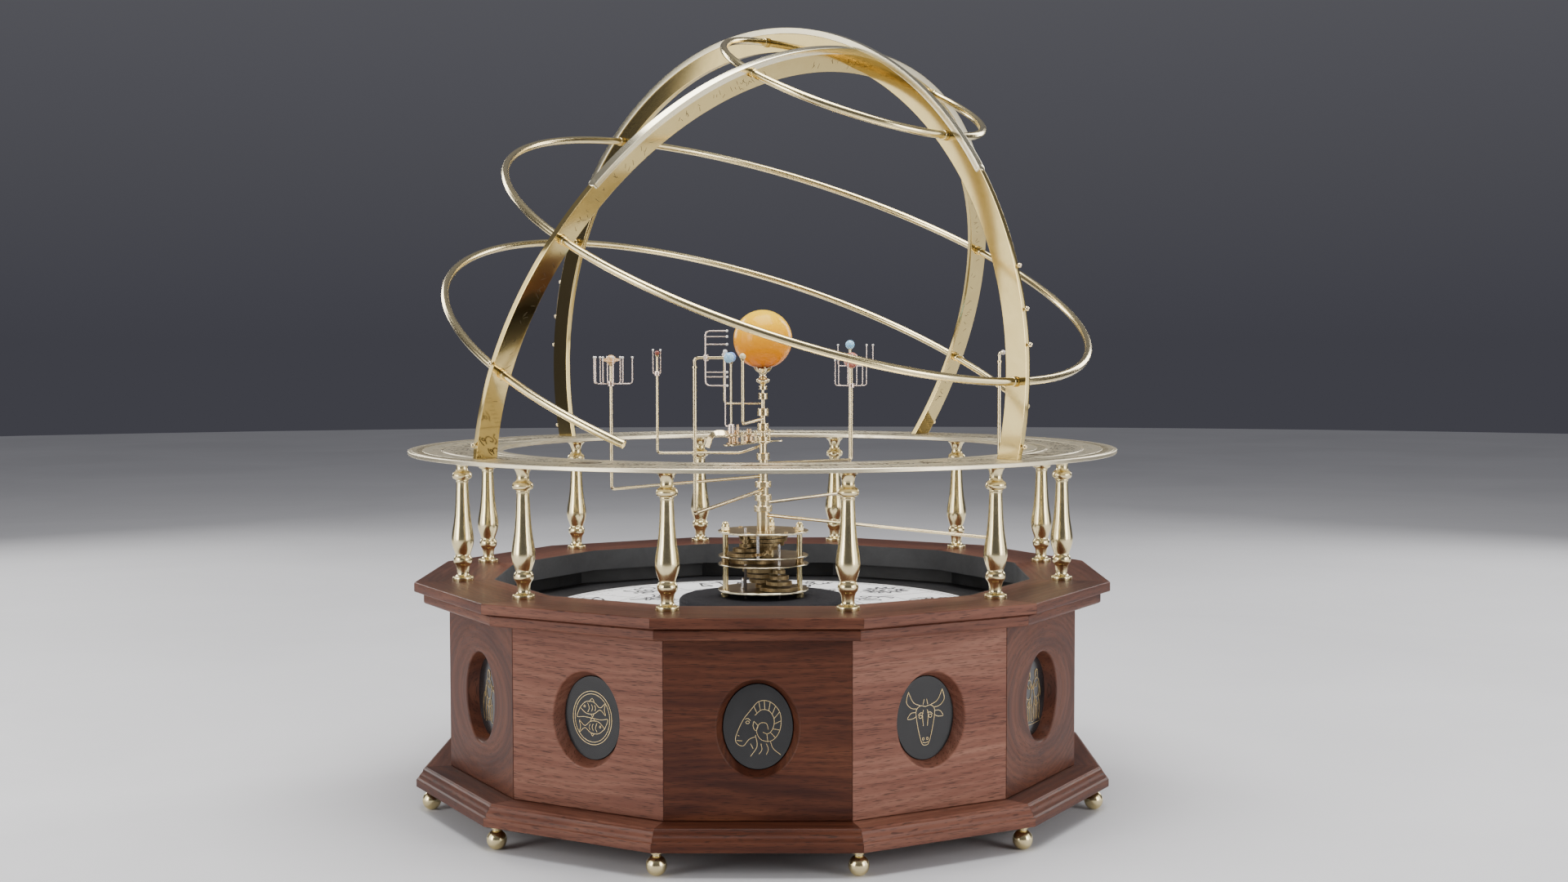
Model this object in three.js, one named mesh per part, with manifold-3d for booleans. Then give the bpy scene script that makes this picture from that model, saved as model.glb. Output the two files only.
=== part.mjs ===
// Orrery: a twelve-sided walnut cabinet that carries a balustrade, an engraved zodiac ring, an open
// dome of brass bands and tubes, and a geared planet mechanism in a sunken well.
// Units are millimetres, +Z is up, and the origin is on the floor under the centre rod.
// An azimuth is measured from the front (-Y) towards +X, in degrees.
import * as THREE from 'three';
import { mergeVertices } from 'three/addons/utils/BufferGeometryUtils.js';
import Module from 'manifold-3d';

const wasm = await Module();
wasm.setup();

// ---------------------------------------------------------------- driving dimensions
const GAP = 0.3;
const BORE_CLEARANCE = 0.4;

// Cabinet: every 12-sided outline has its corners at azimuth 15, 45, 75 ...
const SIDES = 12;
const CORNER_START = 15;
const FLAT = Math.cos(Math.PI / SIDES);
const feet = { radius: 360, ball: 9.8, flat: 3.5, neck: 4, height: 24.3 };
const moulding = { corner: 376, bottom: 24, top: 45, inner: 322 };
const BOARD_THICKNESS = 12;
const panel = { corner: 339.6, wall: 19, bottom: 45, top: 217 };
const recess = { width: 71, height: 85, depth: 14, z: 132 };
const rail = { corner: 376, opening: 293, bottom: 217, top: 240.5 };
const deck = { top: 199, floor: 3.5, wall: 2.5 };
const chart = { radius: 238, top: 201 };
const pad = { radius: 92, top: 213, shell: 2.2 };

// Balustrade and zodiac ring
const baluster = { radius: 325, height: 131.4 };
const ring = { inner: 283, outer: 380, bottom: 372.5, top: 376.5 };

// Dome: bands and tubes lie on one sphere whose pole leans forward and to the right. The leaning band
// stands a little behind the sphere's centre and turned from it, as hand-bent bands do.
const dome = { z: 461, radius: 350, tilt: 25, azimuth: 45 };
const leaningBand = { back: 15.6, turn: 2.5 };
const band = {
  inner: 339, outer: 364, thickness: 6, from: -22, rim: 6, proud: 0.8, rimThickness: 8, rimStart: 33,
};
const tube = { radius: 4, declination: 23.5 };
const equatorEnds = { front: -21, back: 118 };

// Mechanism: round plates on three pillars, wheels on nested sleeves and two layshafts
const plate = {
  radius: 49.5, base: 219.5, baseThick: 2, mid: 248, midThick: 1.2, midGap: 8, top: 283, topThick: 2,
};
const pillar = { circle: 42.5, radius: 3, flange: 4.8, nut: [5, 11], azimuths: [-74, 69, 170] };
const shaft = {
  circle: 30, radius: 1.5, fastAzimuth: 35.7, slowAzimuth: -39, fastRate: 1.8, slowRate: 0.04,
  fastTop: 272, slowTop: 290,
};
const rod = { radius: 1.5, top: 446 };
const sleeve = { step: 0.6, wall: 0.4 };
const wheel = { thickness: 3.6, lowerStart: 222.4, upperStart: 259.6, pitch: 4.6 };
const sun = { radius: 32, z: 493 };

// Planets from the innermost sleeve to the outermost. rate is turns in an Earth year, and arm is the
// height at which the arm leaves its sleeve; drop is how far it falls on its way to the riser at reach.
// collar is [bottom, top, radius], ball is [centre height, radius] and wire is the arm's own radius.
const planets = [
  {
    name: 'mercury', rate: 4.1521, arm: 423.3, drop: 0, collar: [427.9, 434.6, 5],
    reach: 42, azimuth: -88, ball: [476, 2.6], wire: 0.9,
  },
  {
    name: 'venus', rate: 1.6255, arm: 406.5, drop: 3, collar: [409.9, 418, 6.2],
    reach: 64, azimuth: -18.5, ball: [475, 3.4], wire: 1.6,
  },
  {
    name: 'earth', rate: 1, arm: 391, drop: 0, collar: [393.9, 401.9, 6.2],
    reach: 84, azimuth: -22.5, ball: [474.3, 5.4], wire: 1,
  },
  {
    name: 'mars', rate: 0.5317, arm: 376.5, drop: 7, collar: [379.7, 387.4, 6.2],
    reach: 115, azimuth: -90, ball: [478.3, 2.6], wire: 1.4,
  },
  {
    name: 'jupiter', rate: 0.0843, arm: 358, drop: 3, collar: [361.9, 369.4, 7.2],
    reach: 148.5, azimuth: 138, ball: [469, 9], wire: 1.7,
  },
  {
    name: 'saturn', rate: 0.0339, arm: 344, drop: 5, collar: [347, 354, 8],
    reach: 193.5, azimuth: -52.8, ball: [472, 5.2], wire: 1.6,
  },
  {
    name: 'uranus', rate: 0.0119, arm: 328.9, drop: 6, collar: [332, 338.7, 8.9],
    reach: 228, azimuth: -16, ball: [475, 5.1], wire: 1.8,
  },
  {
    name: 'neptune', rate: 0.00607, arm: 314.5, drop: 6, collar: [317.3, 324.4, 9.2],
    reach: 255, azimuth: 156.6, ball: [486.5, 5.5], wire: 1.8,
  },
  {
    name: 'pluto', rate: 0.00403, arm: 301.5, drop: 14, collar: [305.6, 312.2, 10],
    reach: 272, azimuth: 64, ball: [479, 2.6], wire: 1.8,
  },
];
const earthPlates = { upper: 392, lower: 381.5, thickness: 1.3, halfWidth: 6, end: 95, tail: 22 };
const moon = { hub: 404, orbit: 6.6, z: 480, radius: 2.4, wire: 0.7 };
const uranusHook = { hub: 12, planet: 35 };
const plutoHook = 8;

// Moon carriers: the hub's height, the moons' height, and each moon as [distance from its riser, angle
// from +X].
const marsMoons = { hub: 456, top: 481.5, moons: [[4.4, 180], [3.8, 20]] };
const jupiterMoons = {
  hub: 440,
  top: 469,
  moons: [[18.5, 180], [15.5, 158], [13, 60], [14.5, 330], [18, 15], [12.5, 250]],
};
const saturnMoons = {
  hub: 447.5,
  top: 474.5,
  moons: [
    [18, 168], [16, 195], [14, 147], [13, 237], [12.5, 112], [12.5, 286], [14.5, 54], [15.5, 327], [22, 8],
  ],
};
const neptuneMoons = { hub: 461, top: 486, moons: [[15.5, 157], [21.5, -23], [29, -20]] };
const uranusMoons = { offsets: [-27, -18.5, -14, 13, 20.5, 26], reach: 22 };

// ---------------------------------------------------------------- colours
const walnut = { color: 0x4a1a12, roughness: 0.35, metalness: 0 };
const brass = { color: 0xd8c487, roughness: 0.25, metalness: 1 };
const agedBrass = { color: 0x8a6a3c, roughness: 0.4, metalness: 1 };
const steel = { color: 0xb9babc, roughness: 0.3, metalness: 1 };
const black = { color: 0x111113, roughness: 0.6, metalness: 0 };
const charcoal = { color: 0x33353a, roughness: 0.5, metalness: 0 };
const chartWhite = { color: 0xe9e9ee, roughness: 0.6, metalness: 0 };
const sunOrange = { color: 0xe8a33a, roughness: 0.15, metalness: 0 };
const ballColours = {
  mercury: 0xe8e4dc, venus: 0xe8dba0, earth: 0x8fb4e6, mars: 0x5c2018, jupiter: 0xc08a6a,
  saturn: 0xdcb47e, uranus: 0xb8d4e6, neptune: 0xa8c8ea, pluto: 0xc9c2b8,
};

// ---------------------------------------------------------------- small helpers
const toRad = THREE.MathUtils.degToRad;
const at = (radius, azimuth, z) =>
  new THREE.Vector3(radius * Math.sin(toRad(azimuth)), -radius * Math.cos(toRad(azimuth)), z);

function signedVolume(geometry) {
  const p = geometry.attributes.position.array;
  const i = geometry.index.array;
  let six = 0;
  for (let t = 0; t < i.length; t += 3) {
    const a = new THREE.Vector3(...p.slice(3 * i[t], 3 * i[t] + 3));
    const b = new THREE.Vector3(...p.slice(3 * i[t + 1], 3 * i[t + 1] + 3));
    const c = new THREE.Vector3(...p.slice(3 * i[t + 2], 3 * i[t + 2] + 3));
    six += a.dot(b.cross(c));
  }
  return six / 6;
}

// Merges shared vertices, drops the slivers at the axis and turns every face outwards.
function tidy(geometry) {
  geometry.deleteAttribute('normal');
  geometry.deleteAttribute('uv');
  const merged = mergeVertices(geometry, 1e-4);
  const kept = [];
  const i = merged.index.array;
  for (let t = 0; t < i.length; t += 3) {
    const [a, b, c] = [i[t], i[t + 1], i[t + 2]];
    if (a !== b && b !== c && c !== a) kept.push(a, b, c);
  }
  merged.setIndex(kept);
  if (signedVolume(merged) < 0) {
    for (let t = 0; t < kept.length; t += 3) [kept[t + 1], kept[t + 2]] = [kept[t + 2], kept[t + 1]];
    merged.setIndex(kept);
  }
  return merged;
}

function toSolid(geometry) {
  const g = tidy(geometry);
  return new wasm.Manifold(new wasm.Mesh({
    numProp: 3,
    vertProperties: new Float32Array(g.attributes.position.array),
    triVerts: new Uint32Array(g.index.array),
  }));
}

function toGeometry(solid) {
  const mesh = solid.getMesh();
  const g = new THREE.BufferGeometry();
  g.setAttribute('position', new THREE.BufferAttribute(new Float32Array(mesh.vertProperties), 3));
  g.setIndex(new THREE.BufferAttribute(new Uint32Array(mesh.triVerts), 1));
  return g;
}

const join = (...geometries) => toGeometry(geometries.map(toSolid).reduce((a, b) => a.add(b)));
const cut = (body, ...tools) => toGeometry(tools.map(toSolid).reduce((a, b) => a.subtract(b), toSolid(body)));

// Turned shape about Z from [radius, height] points; a ring's outline closes on itself.
function turned(outline, sides, start = 0, closed = false) {
  const points = outline.map(([r, z]) => new THREE.Vector2(r, z));
  if (closed) points.push(points[0].clone());
  return new THREE.LatheGeometry(points, sides, toRad(start), 2 * Math.PI).rotateX(Math.PI / 2);
}
const faceted = (outline) => turned(outline, SIDES, CORNER_START, true);
const hoop = (rIn, rOut, z0, z1, sides) =>
  turned([[rIn, z0], [rOut, z0], [rOut, z1], [rIn, z1]], sides, 0, true);

function rodBetween(a, b, radius, sides = 6) {
  const along = b.clone().sub(a);
  const g = new THREE.CylinderGeometry(radius, radius, along.length(), sides, 1);
  const turn = new THREE.Quaternion().setFromUnitVectors(new THREE.Vector3(0, 1, 0), along.normalize());
  const middle = a.clone().add(b).multiplyScalar(0.5);
  return g.applyMatrix4(new THREE.Matrix4().compose(middle, turn, new THREE.Vector3(1, 1, 1)));
}

function ballAt(centre, radius, wide = 8, high = 5) {
  return new THREE.SphereGeometry(radius, wide, high).rotateX(Math.PI / 2).translate(...centre.toArray());
}
const drill = (x, y, z0, z1, radius, sides = 8) =>
  rodBetween(new THREE.Vector3(x, y, z0), new THREE.Vector3(x, y, z1), radius, sides);

const orrery = new THREE.Group();
function add(name, geometry, look, parent = orrery) {
  const mesh = new THREE.Mesh(tidy(geometry), new THREE.MeshStandardMaterial(look));
  mesh.name = name;
  parent.add(mesh);
  return mesh;
}

// ---------------------------------------------------------------- cabinet
function footGeometry(azimuth) {
  const { ball, flat, neck, height } = feet;
  const outline = [[0, 0], [flat, 0], [ball, ball], [neck, ball * 1.9], [neck, height], [0, height]];
  const centre = at(feet.radius, azimuth, 0);
  return turned(outline, 6).translate(centre.x, centre.y, 0);
}

function baseMoulding() {
  const { corner, bottom, top, inner } = moulding;
  const edge = faceted([[inner, bottom], [corner, bottom], [corner, bottom + 8], [corner - 4, bottom + 11],
    [corner - 4, bottom + 13], [corner - 7, bottom + 19], [corner - 10, top], [inner, top]]);
  const all = [];
  for (let k = 0; k < SIDES; k++) all.push(footGeometry(CORNER_START + (360 / SIDES) * k));
  return join(edge, ...all);
}

function panelDrum() {
  const { corner, wall, bottom, top } = panel;
  const inner = corner - wall / FLAT;
  const [low, high] = [bottom + GAP, top - GAP];
  const drum = faceted([[inner, low], [corner, low], [corner, high], [inner, high]]);
  const face = corner * FLAT;
  const ovals = [];
  for (let k = 0; k < SIDES; k++) {
    const azimuth = (360 / SIDES) * k;
    const oval = new THREE.CylinderGeometry(1, 1, recess.depth * 2, 14, 1);
    oval.scale(recess.width / 2, 1, recess.height / 2).translate(0, -face, recess.z);
    ovals.push(oval.rotateZ(toRad(azimuth)));
  }
  return cut(drum, ...ovals);
}

function topRail() {
  const { corner, opening, bottom, top } = rail;
  const lowerEdge = [[opening, bottom], [corner - 14, bottom], [corner - 10, bottom + 2]];
  const upperEdge = [[corner - 10, top - 12], [corner - 5, top - 10], [corner, top - 8], [corner, top]];
  return faceted([...lowerEdge, ...upperEdge, [opening, top]]);
}

function wellTray() {
  const outer = panel.corner - panel.wall / FLAT - 1;
  const { top, floor, wall } = deck;
  const inner = outer - wall;
  const brim = rail.bottom - GAP;
  const under = top - floor;
  const outline = [[0, under], [outer, under], [outer, brim], [inner, brim], [inner, top], [0, top]];
  return turned(outline, SIDES, CORNER_START);
}

function buildCabinet() {
  const boardCorner = moulding.inner - 1;
  const low = moulding.bottom;
  const high = low + BOARD_THICKNESS;
  const boardOutline = [[0, low], [boardCorner, low], [boardCorner, high], [0, high]];
  add('base_board', turned(boardOutline, SIDES, CORNER_START), walnut);
  add('base_moulding', baseMoulding(), walnut);
  add('panel_drum', panelDrum(), walnut);
  add('top_rail', topRail(), walnut);
  add('well_tray', wellTray(), black);
  const { radius, top } = chart;
  const chartOutline = [[0, deck.top + GAP], [radius, deck.top + GAP], [radius, top], [0, top]];
  add('star_chart_disc', turned(chartOutline, 36), chartWhite);
}

function buildPad() {
  const { radius, top, shell } = pad;
  const floor = chart.top + GAP;
  const [hollow, ceiling] = [radius - shell, top - shell];
  const outline = [[0, ceiling], [hollow, ceiling], [hollow, floor], [radius, floor],
    [radius, top], [0, top]];
  const cup = turned(outline, 28);
  const fast = at(shaft.circle, shaft.fastAzimuth, 0);
  const slow = at(shaft.circle, shaft.slowAzimuth, 0);
  const holes = [fast, slow].map((p) => drill(p.x, p.y, floor, top + 1, shaft.radius + 0.6));
  add('centre_pad', cut(cup, ...holes), charcoal);
  const unitTop = top - shell - GAP;
  add('drive_unit', turned([[0, floor], [60, floor], [60, unitTop], [0, unitTop]], 24), steel);
}

// ---------------------------------------------------------------- balustrade, ring and dome
function balusterGeometry() {
  const outline = [[0, 0], [11, 0], [11, 4], [6.6, 6], [9.75, 21], [8, 27], [11.7, 42], [7.8, 75],
    [6.4, 104], [10.2, 110], [6, 118], [10.5, 128], [10.5, baluster.height], [0, baluster.height]];
  return turned(outline, 8);
}

function buildBalustrade() {
  for (let k = 0; k < SIDES; k++) {
    const mesh = add(`baluster_${String(k + 1).padStart(2, '0')}`, balusterGeometry(), brass);
    mesh.position.copy(at(baluster.radius, CORNER_START + (360 / SIDES) * k, rail.top + GAP));
  }
  add('zodiac_ring', hoop(ring.inner, ring.outer, ring.bottom, ring.top, 48), brass);
}

// The dome's own frame: its Z axis is the tilted pole and its X axis is the way the pole leans.
const domeMatrix = new THREE.Matrix4()
  .makeTranslation(0, 0, dome.z)
  .multiply(new THREE.Matrix4().makeRotationZ(toRad(dome.azimuth - 90)))
  .multiply(new THREE.Matrix4().makeRotationY(toRad(dome.tilt)));

const hexagon = (radius) =>
  [0, 1, 2, 3, 4, 5].map((k) => [radius * Math.cos(k * Math.PI / 3), radius * Math.sin(k * Math.PI / 3)]);

function polarTube(declination, radius, steps) {
  const r = dome.radius * Math.cos(toRad(declination));
  const z = dome.radius * Math.sin(toRad(declination));
  const section = hexagon(radius).map(([x, y]) => [r + x, z + y]);
  return turned(section, steps, 0, true).applyMatrix4(domeMatrix);
}

// The equator is open at the front, where it would meet the zodiac ring.
class ArcCurve extends THREE.Curve {
  constructor(radius, from, to) {
    super();
    Object.assign(this, { radius, from, to });
  }
  getPoint(t, target = new THREE.Vector3()) {
    const a = this.from + (this.to - this.from) * t;
    return target.set(this.radius * Math.cos(a), this.radius * Math.sin(a), 0);
  }
}

// Angle round the tilted equator, from the way the pole leans, of the point above a floor azimuth.
function equatorAngle(azimuth) {
  const turn = toRad(azimuth - dome.azimuth);
  return Math.atan2(Math.sin(turn) * Math.cos(toRad(dome.tilt)), Math.cos(turn));
}

function equatorTube(radius, steps) {
  const from = equatorAngle(equatorEnds.back);
  const to = equatorAngle(equatorEnds.front) + 2 * Math.PI;
  const section = new THREE.Shape(hexagon(radius).map(([x, y]) => new THREE.Vector2(x, y)));
  const extrudePath = new ArcCurve(dome.radius, from, to);
  const g = new THREE.ExtrudeGeometry(section, { steps, bevelEnabled: false, extrudePath });
  return g.applyMatrix4(domeMatrix);
}

// A flat hoop sector from one side of the sphere over the top to the other, in a plane through the pole.
function hoopSector(inner, outer, thickness, start, segments) {
  const shape = new THREE.Shape();
  const a = toRad(start);
  shape.absarc(0, 0, outer, a, Math.PI - a, false);
  shape.absarc(0, 0, inner, Math.PI - a, a, true);
  const options = { depth: thickness, bevelEnabled: false, curveSegments: segments };
  return new THREE.ExtrudeGeometry(shape, options).translate(0, 0, -thickness / 2).rotateX(Math.PI / 2);
}

function archBand(inPlane) {
  const { inner, outer, thickness, from, rim: depth, proud, rimThickness, rimStart } = band;
  const flat = hoopSector(inner, outer, thickness, from, 30);
  const rim = hoopSector(outer - depth, outer + proud, rimThickness, rimStart, 16);
  return join(flat, rim).applyMatrix4(inPlane);
}

function buildDome() {
  // Band A leans with the pole and faces it edge on; band B stands upright along the lean.
  const centre = at(-leaningBand.back, dome.azimuth, 0);
  const leaning = (turn) => new THREE.Matrix4().makeTranslation(centre.x, centre.y, dome.z)
    .multiply(new THREE.Matrix4().makeRotationZ(toRad(dome.azimuth - 90 + turn)))
    .multiply(new THREE.Matrix4().makeRotationY(toRad(dome.tilt)));
  const planeA = leaning(leaningBand.turn).multiply(new THREE.Matrix4().makeRotationZ(Math.PI / 2));
  const planeB = new THREE.Matrix4().makeTranslation(0, 0, dome.z)
    .multiply(new THREE.Matrix4().makeRotationZ(toRad(dome.azimuth - 90)));
  const floor = new THREE.BoxGeometry(900, 900, 200).translate(0, 0, ring.top + GAP - 100);
  const bore = tube.radius + BORE_CLEARANCE;
  const bores = [
    polarTube(tube.declination, bore, 40),
    polarTube(90 - tube.declination, bore, 28),
    equatorTube(bore, 34),
  ];
  const [reachIn, reachOut] = [band.inner - 5, band.outer + 10];
  const middle = (band.inner + band.outer) / 2;
  const slot = band.rimThickness + 2 * GAP;
  const halving = (from, to) =>
    new THREE.BoxGeometry(slot, slot, to - from).translate(0, 0, (from + to) / 2).applyMatrix4(leaning(0));
  add('arch_band_left', cut(archBand(planeA), floor, ...bores, halving(reachIn, middle)), brass);
  add('arch_band_right', cut(archBand(planeB), floor, ...bores, halving(middle - GAP, reachOut)), brass);
  add('tropic_tube', polarTube(tube.declination, tube.radius, 40), brass);
  add('arctic_tube', polarTube(90 - tube.declination, tube.radius, 28), brass);
  add('equator_tube', equatorTube(tube.radius, 34), brass);
}

// ---------------------------------------------------------------- mechanism
const pillarHoles = (z0, z1) => pillar.azimuths.map((azimuth) => {
  const p = at(pillar.circle, azimuth, 0);
  return drill(p.x, p.y, z0, z1, pillar.radius + BORE_CLEARANCE);
});
const shaftHole = (azimuth, z0, z1) => {
  const p = at(shaft.circle, azimuth, 0);
  return drill(p.x, p.y, z0, z1, shaft.radius + BORE_CLEARANCE);
};
const shaftHoles = (z0, z1) =>
  [shaft.fastAzimuth, shaft.slowAzimuth].map((azimuth) => shaftHole(azimuth, z0, z1));
const disc = (z, thickness) =>
  turned([[0, z], [plate.radius, z], [plate.radius, z + thickness], [0, z + thickness]], 24);
const sleeveOuter = (index) => rod.radius + sleeve.step * (index + 1);

function middlePlates() {
  const { mid, midThick, midGap } = plate;
  const upper = mid + midThick + midGap;
  const spacers = pillar.azimuths.map((azimuth) => {
    const p = at(pillar.circle, azimuth, 0);
    return drill(p.x, p.y, mid + midThick / 2, upper + midThick / 2, pillar.radius + 2, 6);
  });
  const cage = join(disc(mid, midThick), disc(upper, midThick), ...spacers);
  const [low, high] = [mid - 1, upper + midThick + 1];
  const throat = drill(0, 0, low, high, sleeveOuter(3) + 0.5, 12);
  return cut(cage, ...pillarHoles(low, high), ...shaftHoles(low, high), throat);
}

function buildFrame() {
  const { base, baseThick, top, topThick } = plate;
  const baseSpan = [base - 1, base + baseThick + 1];
  const topSpan = [top - 1, top + topThick + 1];
  const baseHoles = [
    ...pillarHoles(...baseSpan),
    ...shaftHoles(...baseSpan),
    drill(0, 0, ...baseSpan, rod.radius + GAP),
  ];
  const topHoles = [
    ...pillarHoles(...topSpan),
    shaftHole(shaft.slowAzimuth, ...topSpan),
    drill(0, 0, ...topSpan, sleeveOuter(8) + 0.6, 14),
  ];
  add('base_plate', cut(disc(base, baseThick), ...baseHoles), agedBrass);
  add('middle_plates', middlePlates(), agedBrass);
  add('top_plate', cut(disc(top, topThick), ...topHoles), agedBrass);
  pillar.azimuths.forEach((azimuth, k) => {
    const foot = pad.top + GAP;
    const nut = top + topThick + GAP;
    const { radius, flange, nut: [skirt, crown] } = pillar;
    const outline = [[0, foot], [flange, foot], [flange, base - GAP], [radius, base - GAP], [radius, nut],
      [flange, nut], [flange, nut + skirt], [flange / 2, nut + crown - 1], [0, nut + crown]];
    const mesh = add(`pillar_${k + 1}`, turned(outline, 8), brass);
    mesh.position.copy(at(pillar.circle, azimuth, 0));
  });
}

// The fixed centre rod stands on a flange under the base plate and ends in the cup that holds the sun.
function buildCentre() {
  const flange = pad.top + GAP;
  const seat = sun.z - sun.radius - GAP;
  const under = plate.base - GAP;
  const foot = [[0, flange], [8, flange], [8, under], [rod.radius, under]];
  const cup = [[rod.radius, 438], [4.4, 440], [4.4, 442.5], [2.8, rod.top], [7.6, 453], [4, seat], [0, seat]];
  add('centre_rod', turned([...foot, ...cup], 12), brass);
  add('sun', ballAt(new THREE.Vector3(0, 0, sun.z), sun.radius, 16, 10), sunOrange);
}

// Each sleeve wheel meshes with one wheel on its layshaft: the two pitch radii share the centre distance.
const layRate = (index) => (index < 4 ? shaft.fastRate : shaft.slowRate);
function pitchRadii(index) {
  const ratio = planets[index].rate / layRate(index);
  const onSleeve = shaft.circle / (1 + ratio);
  return { onSleeve, onShaft: shaft.circle - onSleeve };
}
const wheelZ = (index) =>
  (index < 4 ? wheel.lowerStart + index * (wheel.pitch + 1.4) : wheel.upperStart + (index - 4) * wheel.pitch);
const MESH_CLEARANCE = 0.2;

function layshaft(first, last, bottom, top, spindleAzimuth) {
  const { radius } = shaft;
  const outline = [[0, bottom], [radius, bottom]];
  for (let k = first; k <= last; k++) {
    const r = Math.max(pitchRadii(k).onShaft - MESH_CLEARANCE, radius + 0.3);
    const [z0, z1] = [wheelZ(k), wheelZ(k) + wheel.thickness];
    outline.push([radius, z0], [r, z0], [r, z1], [radius, z1]);
  }
  outline.push([radius, top], [0, top]);
  const centre = at(shaft.circle, spindleAzimuth, 0);
  return { geometry: turned(outline, 10), centre };
}

function buildLayshafts() {
  const bottom = pad.top - pad.shell;
  const fast = layshaft(0, 3, bottom, shaft.fastTop, shaft.fastAzimuth);
  const slow = layshaft(4, 8, bottom, shaft.slowTop, shaft.slowAzimuth);
  add('fast_layshaft', fast.geometry, agedBrass).position.copy(fast.centre);
  add('slow_layshaft', slow.geometry, agedBrass).position.copy(slow.centre);
}

function sleeveGeometry(index) {
  const { collar } = planets[index];
  const outer = sleeveOuter(index);
  const inner = outer - sleeve.wall;
  const z = wheelZ(index);
  const r = pitchRadii(index).onSleeve - MESH_CLEARANCE;
  const [low, high, wide] = collar;
  const outline = [[inner, z], [r, z], [r, z + wheel.thickness], [outer, z + wheel.thickness],
    [outer, low], [wide, low], [wide, high], [inner, high]];
  return turned(outline, 14, 0, true);
}

function armGeometry(index) {
  const p = planets[index];
  const root = sleeveOuter(index) - 0.2;
  const elbow = p.arm - p.drop;
  const bend = p.name === 'mars' ? 25 : p.reach;
  const start = at(root, p.azimuth, p.arm);
  const parts = [rodBetween(start, at(bend, p.azimuth, elbow), p.wire)];
  if (bend < p.reach) {
    const end = at(p.reach + p.wire, p.azimuth, elbow);
    parts.push(rodBetween(at(bend - 1, p.azimuth, elbow), end, p.wire));
  }
  const top = p.ball[0] - p.ball[1] - GAP;
  parts.push(rodBetween(at(p.reach, p.azimuth, elbow - p.wire), at(p.reach, p.azimuth, top), p.wire));
  return join(sleeveGeometry(index), ...parts);
}

// A point beside a riser, offset along the circle that the riser travels.
function beside(p, offset, z) {
  const along = new THREE.Vector3(Math.cos(toRad(p.azimuth)), Math.sin(toRad(p.azimuth)), 0);
  return at(p.reach, p.azimuth, z).addScaledVector(along, offset);
}

// Uranus and Pluto have hooked risers, so that the planet stands to the side of its riser. The hook is
// a little thinner than the riser.
const HOOK_SHARE = 0.8;
function hookedArm(index, hookEnd) {
  const p = planets[index];
  const elbow = p.arm - p.drop;
  const hookZ = p.ball[0];
  return join(sleeveGeometry(index),
    rodBetween(at(sleeveOuter(index) - 0.2, p.azimuth, p.arm), at(p.reach, p.azimuth, elbow), p.wire),
    rodBetween(at(p.reach, p.azimuth, elbow - p.wire), at(p.reach, p.azimuth, hookZ), p.wire),
    rodBetween(beside(p, -p.wire, hookZ), beside(p, hookEnd, hookZ), p.wire * HOOK_SHARE));
}

// The Earth arm is a pair of long plates on small posts, with a tail that balances it.
function earthArm(index) {
  const p = planets[index];
  const { upper, lower, thickness, halfWidth, end, tail } = earthPlates;
  const bar = (from, to, z) => new THREE.BoxGeometry(2 * halfWidth, to - from, thickness)
    .translate(0, -(from + to) / 2, z + thickness / 2).rotateZ(toRad(p.azimuth));
  const post = (reach) =>
    rodBetween(at(reach, p.azimuth, lower + 0.5), at(reach, p.azimuth, upper + 0.5), 1.4);
  const top = p.ball[0] - p.ball[1] - GAP;
  const around = drill(0, 0, lower - 1, lower + thickness + 1, planets[3].collar[2] + 1.2, 14);
  const eye = drill(0, 0, lower, lower + thickness, 11, 14);
  const lowerPlate = cut(join(bar(-tail, end, lower), eye), around);
  const throat = drill(0, 0, upper - 1, upper + thickness + 1, sleeveOuter(index) - 0.2, 14);
  const upperPlate = cut(bar(-tail, end, upper), throat);
  const riser = rodBetween(at(p.reach, p.azimuth, lower + 0.5), at(p.reach, p.azimuth, top), p.wire, 8);
  return join(sleeveGeometry(index), upperPlate, lowerPlate, post(20), post(55), post(-17), riser);
}

// A small arm that turns on the Earth riser and carries the Moon beside the Earth.
function moonArm(p) {
  const centre = at(p.reach, p.azimuth, 0);
  const side = (offset, z) => beside(p, -offset, z);
  const foot = earthPlates.upper + earthPlates.thickness + GAP;
  const hub = hoop(p.wire + GAP, 3.4, foot, moon.hub, 12).translate(centre.x, centre.y, 0);
  const bar = rodBetween(side(2.4, moon.hub - 2), side(moon.orbit + moon.wire, moon.hub - 2), moon.wire);
  const riser = rodBetween(side(moon.orbit, moon.hub - 2.6), side(moon.orbit, moon.z), moon.wire);
  return join(hub, bar, riser, ballAt(side(moon.orbit, moon.z), moon.radius, 6, 5));
}

// A hub that turns by hand on a riser, with one bent wire for each moon.
function moonBasket(p, { hub, top, moons }, wire = 0.6) {
  const centre = at(p.reach, p.azimuth, 0);
  const parts = [hoop(p.wire + GAP, p.wire + 1.6, hub - 2.5, hub + 2.5, 10).translate(centre.x, centre.y, 0)];
  moons.forEach(([orbit, angle]) => {
    const a = toRad(angle);
    const place = (radius, z) =>
      new THREE.Vector3(centre.x + radius * Math.cos(a), centre.y + radius * Math.sin(a), z);
    parts.push(rodBetween(place(p.wire + 0.9, hub), place(orbit + wire, hub), wire, 4));
    parts.push(rodBetween(place(orbit, hub - wire), place(orbit, top), wire, 4));
    parts.push(ballAt(place(orbit, top), 1.3, 4, 2));
  });
  return join(...parts);
}

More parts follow.
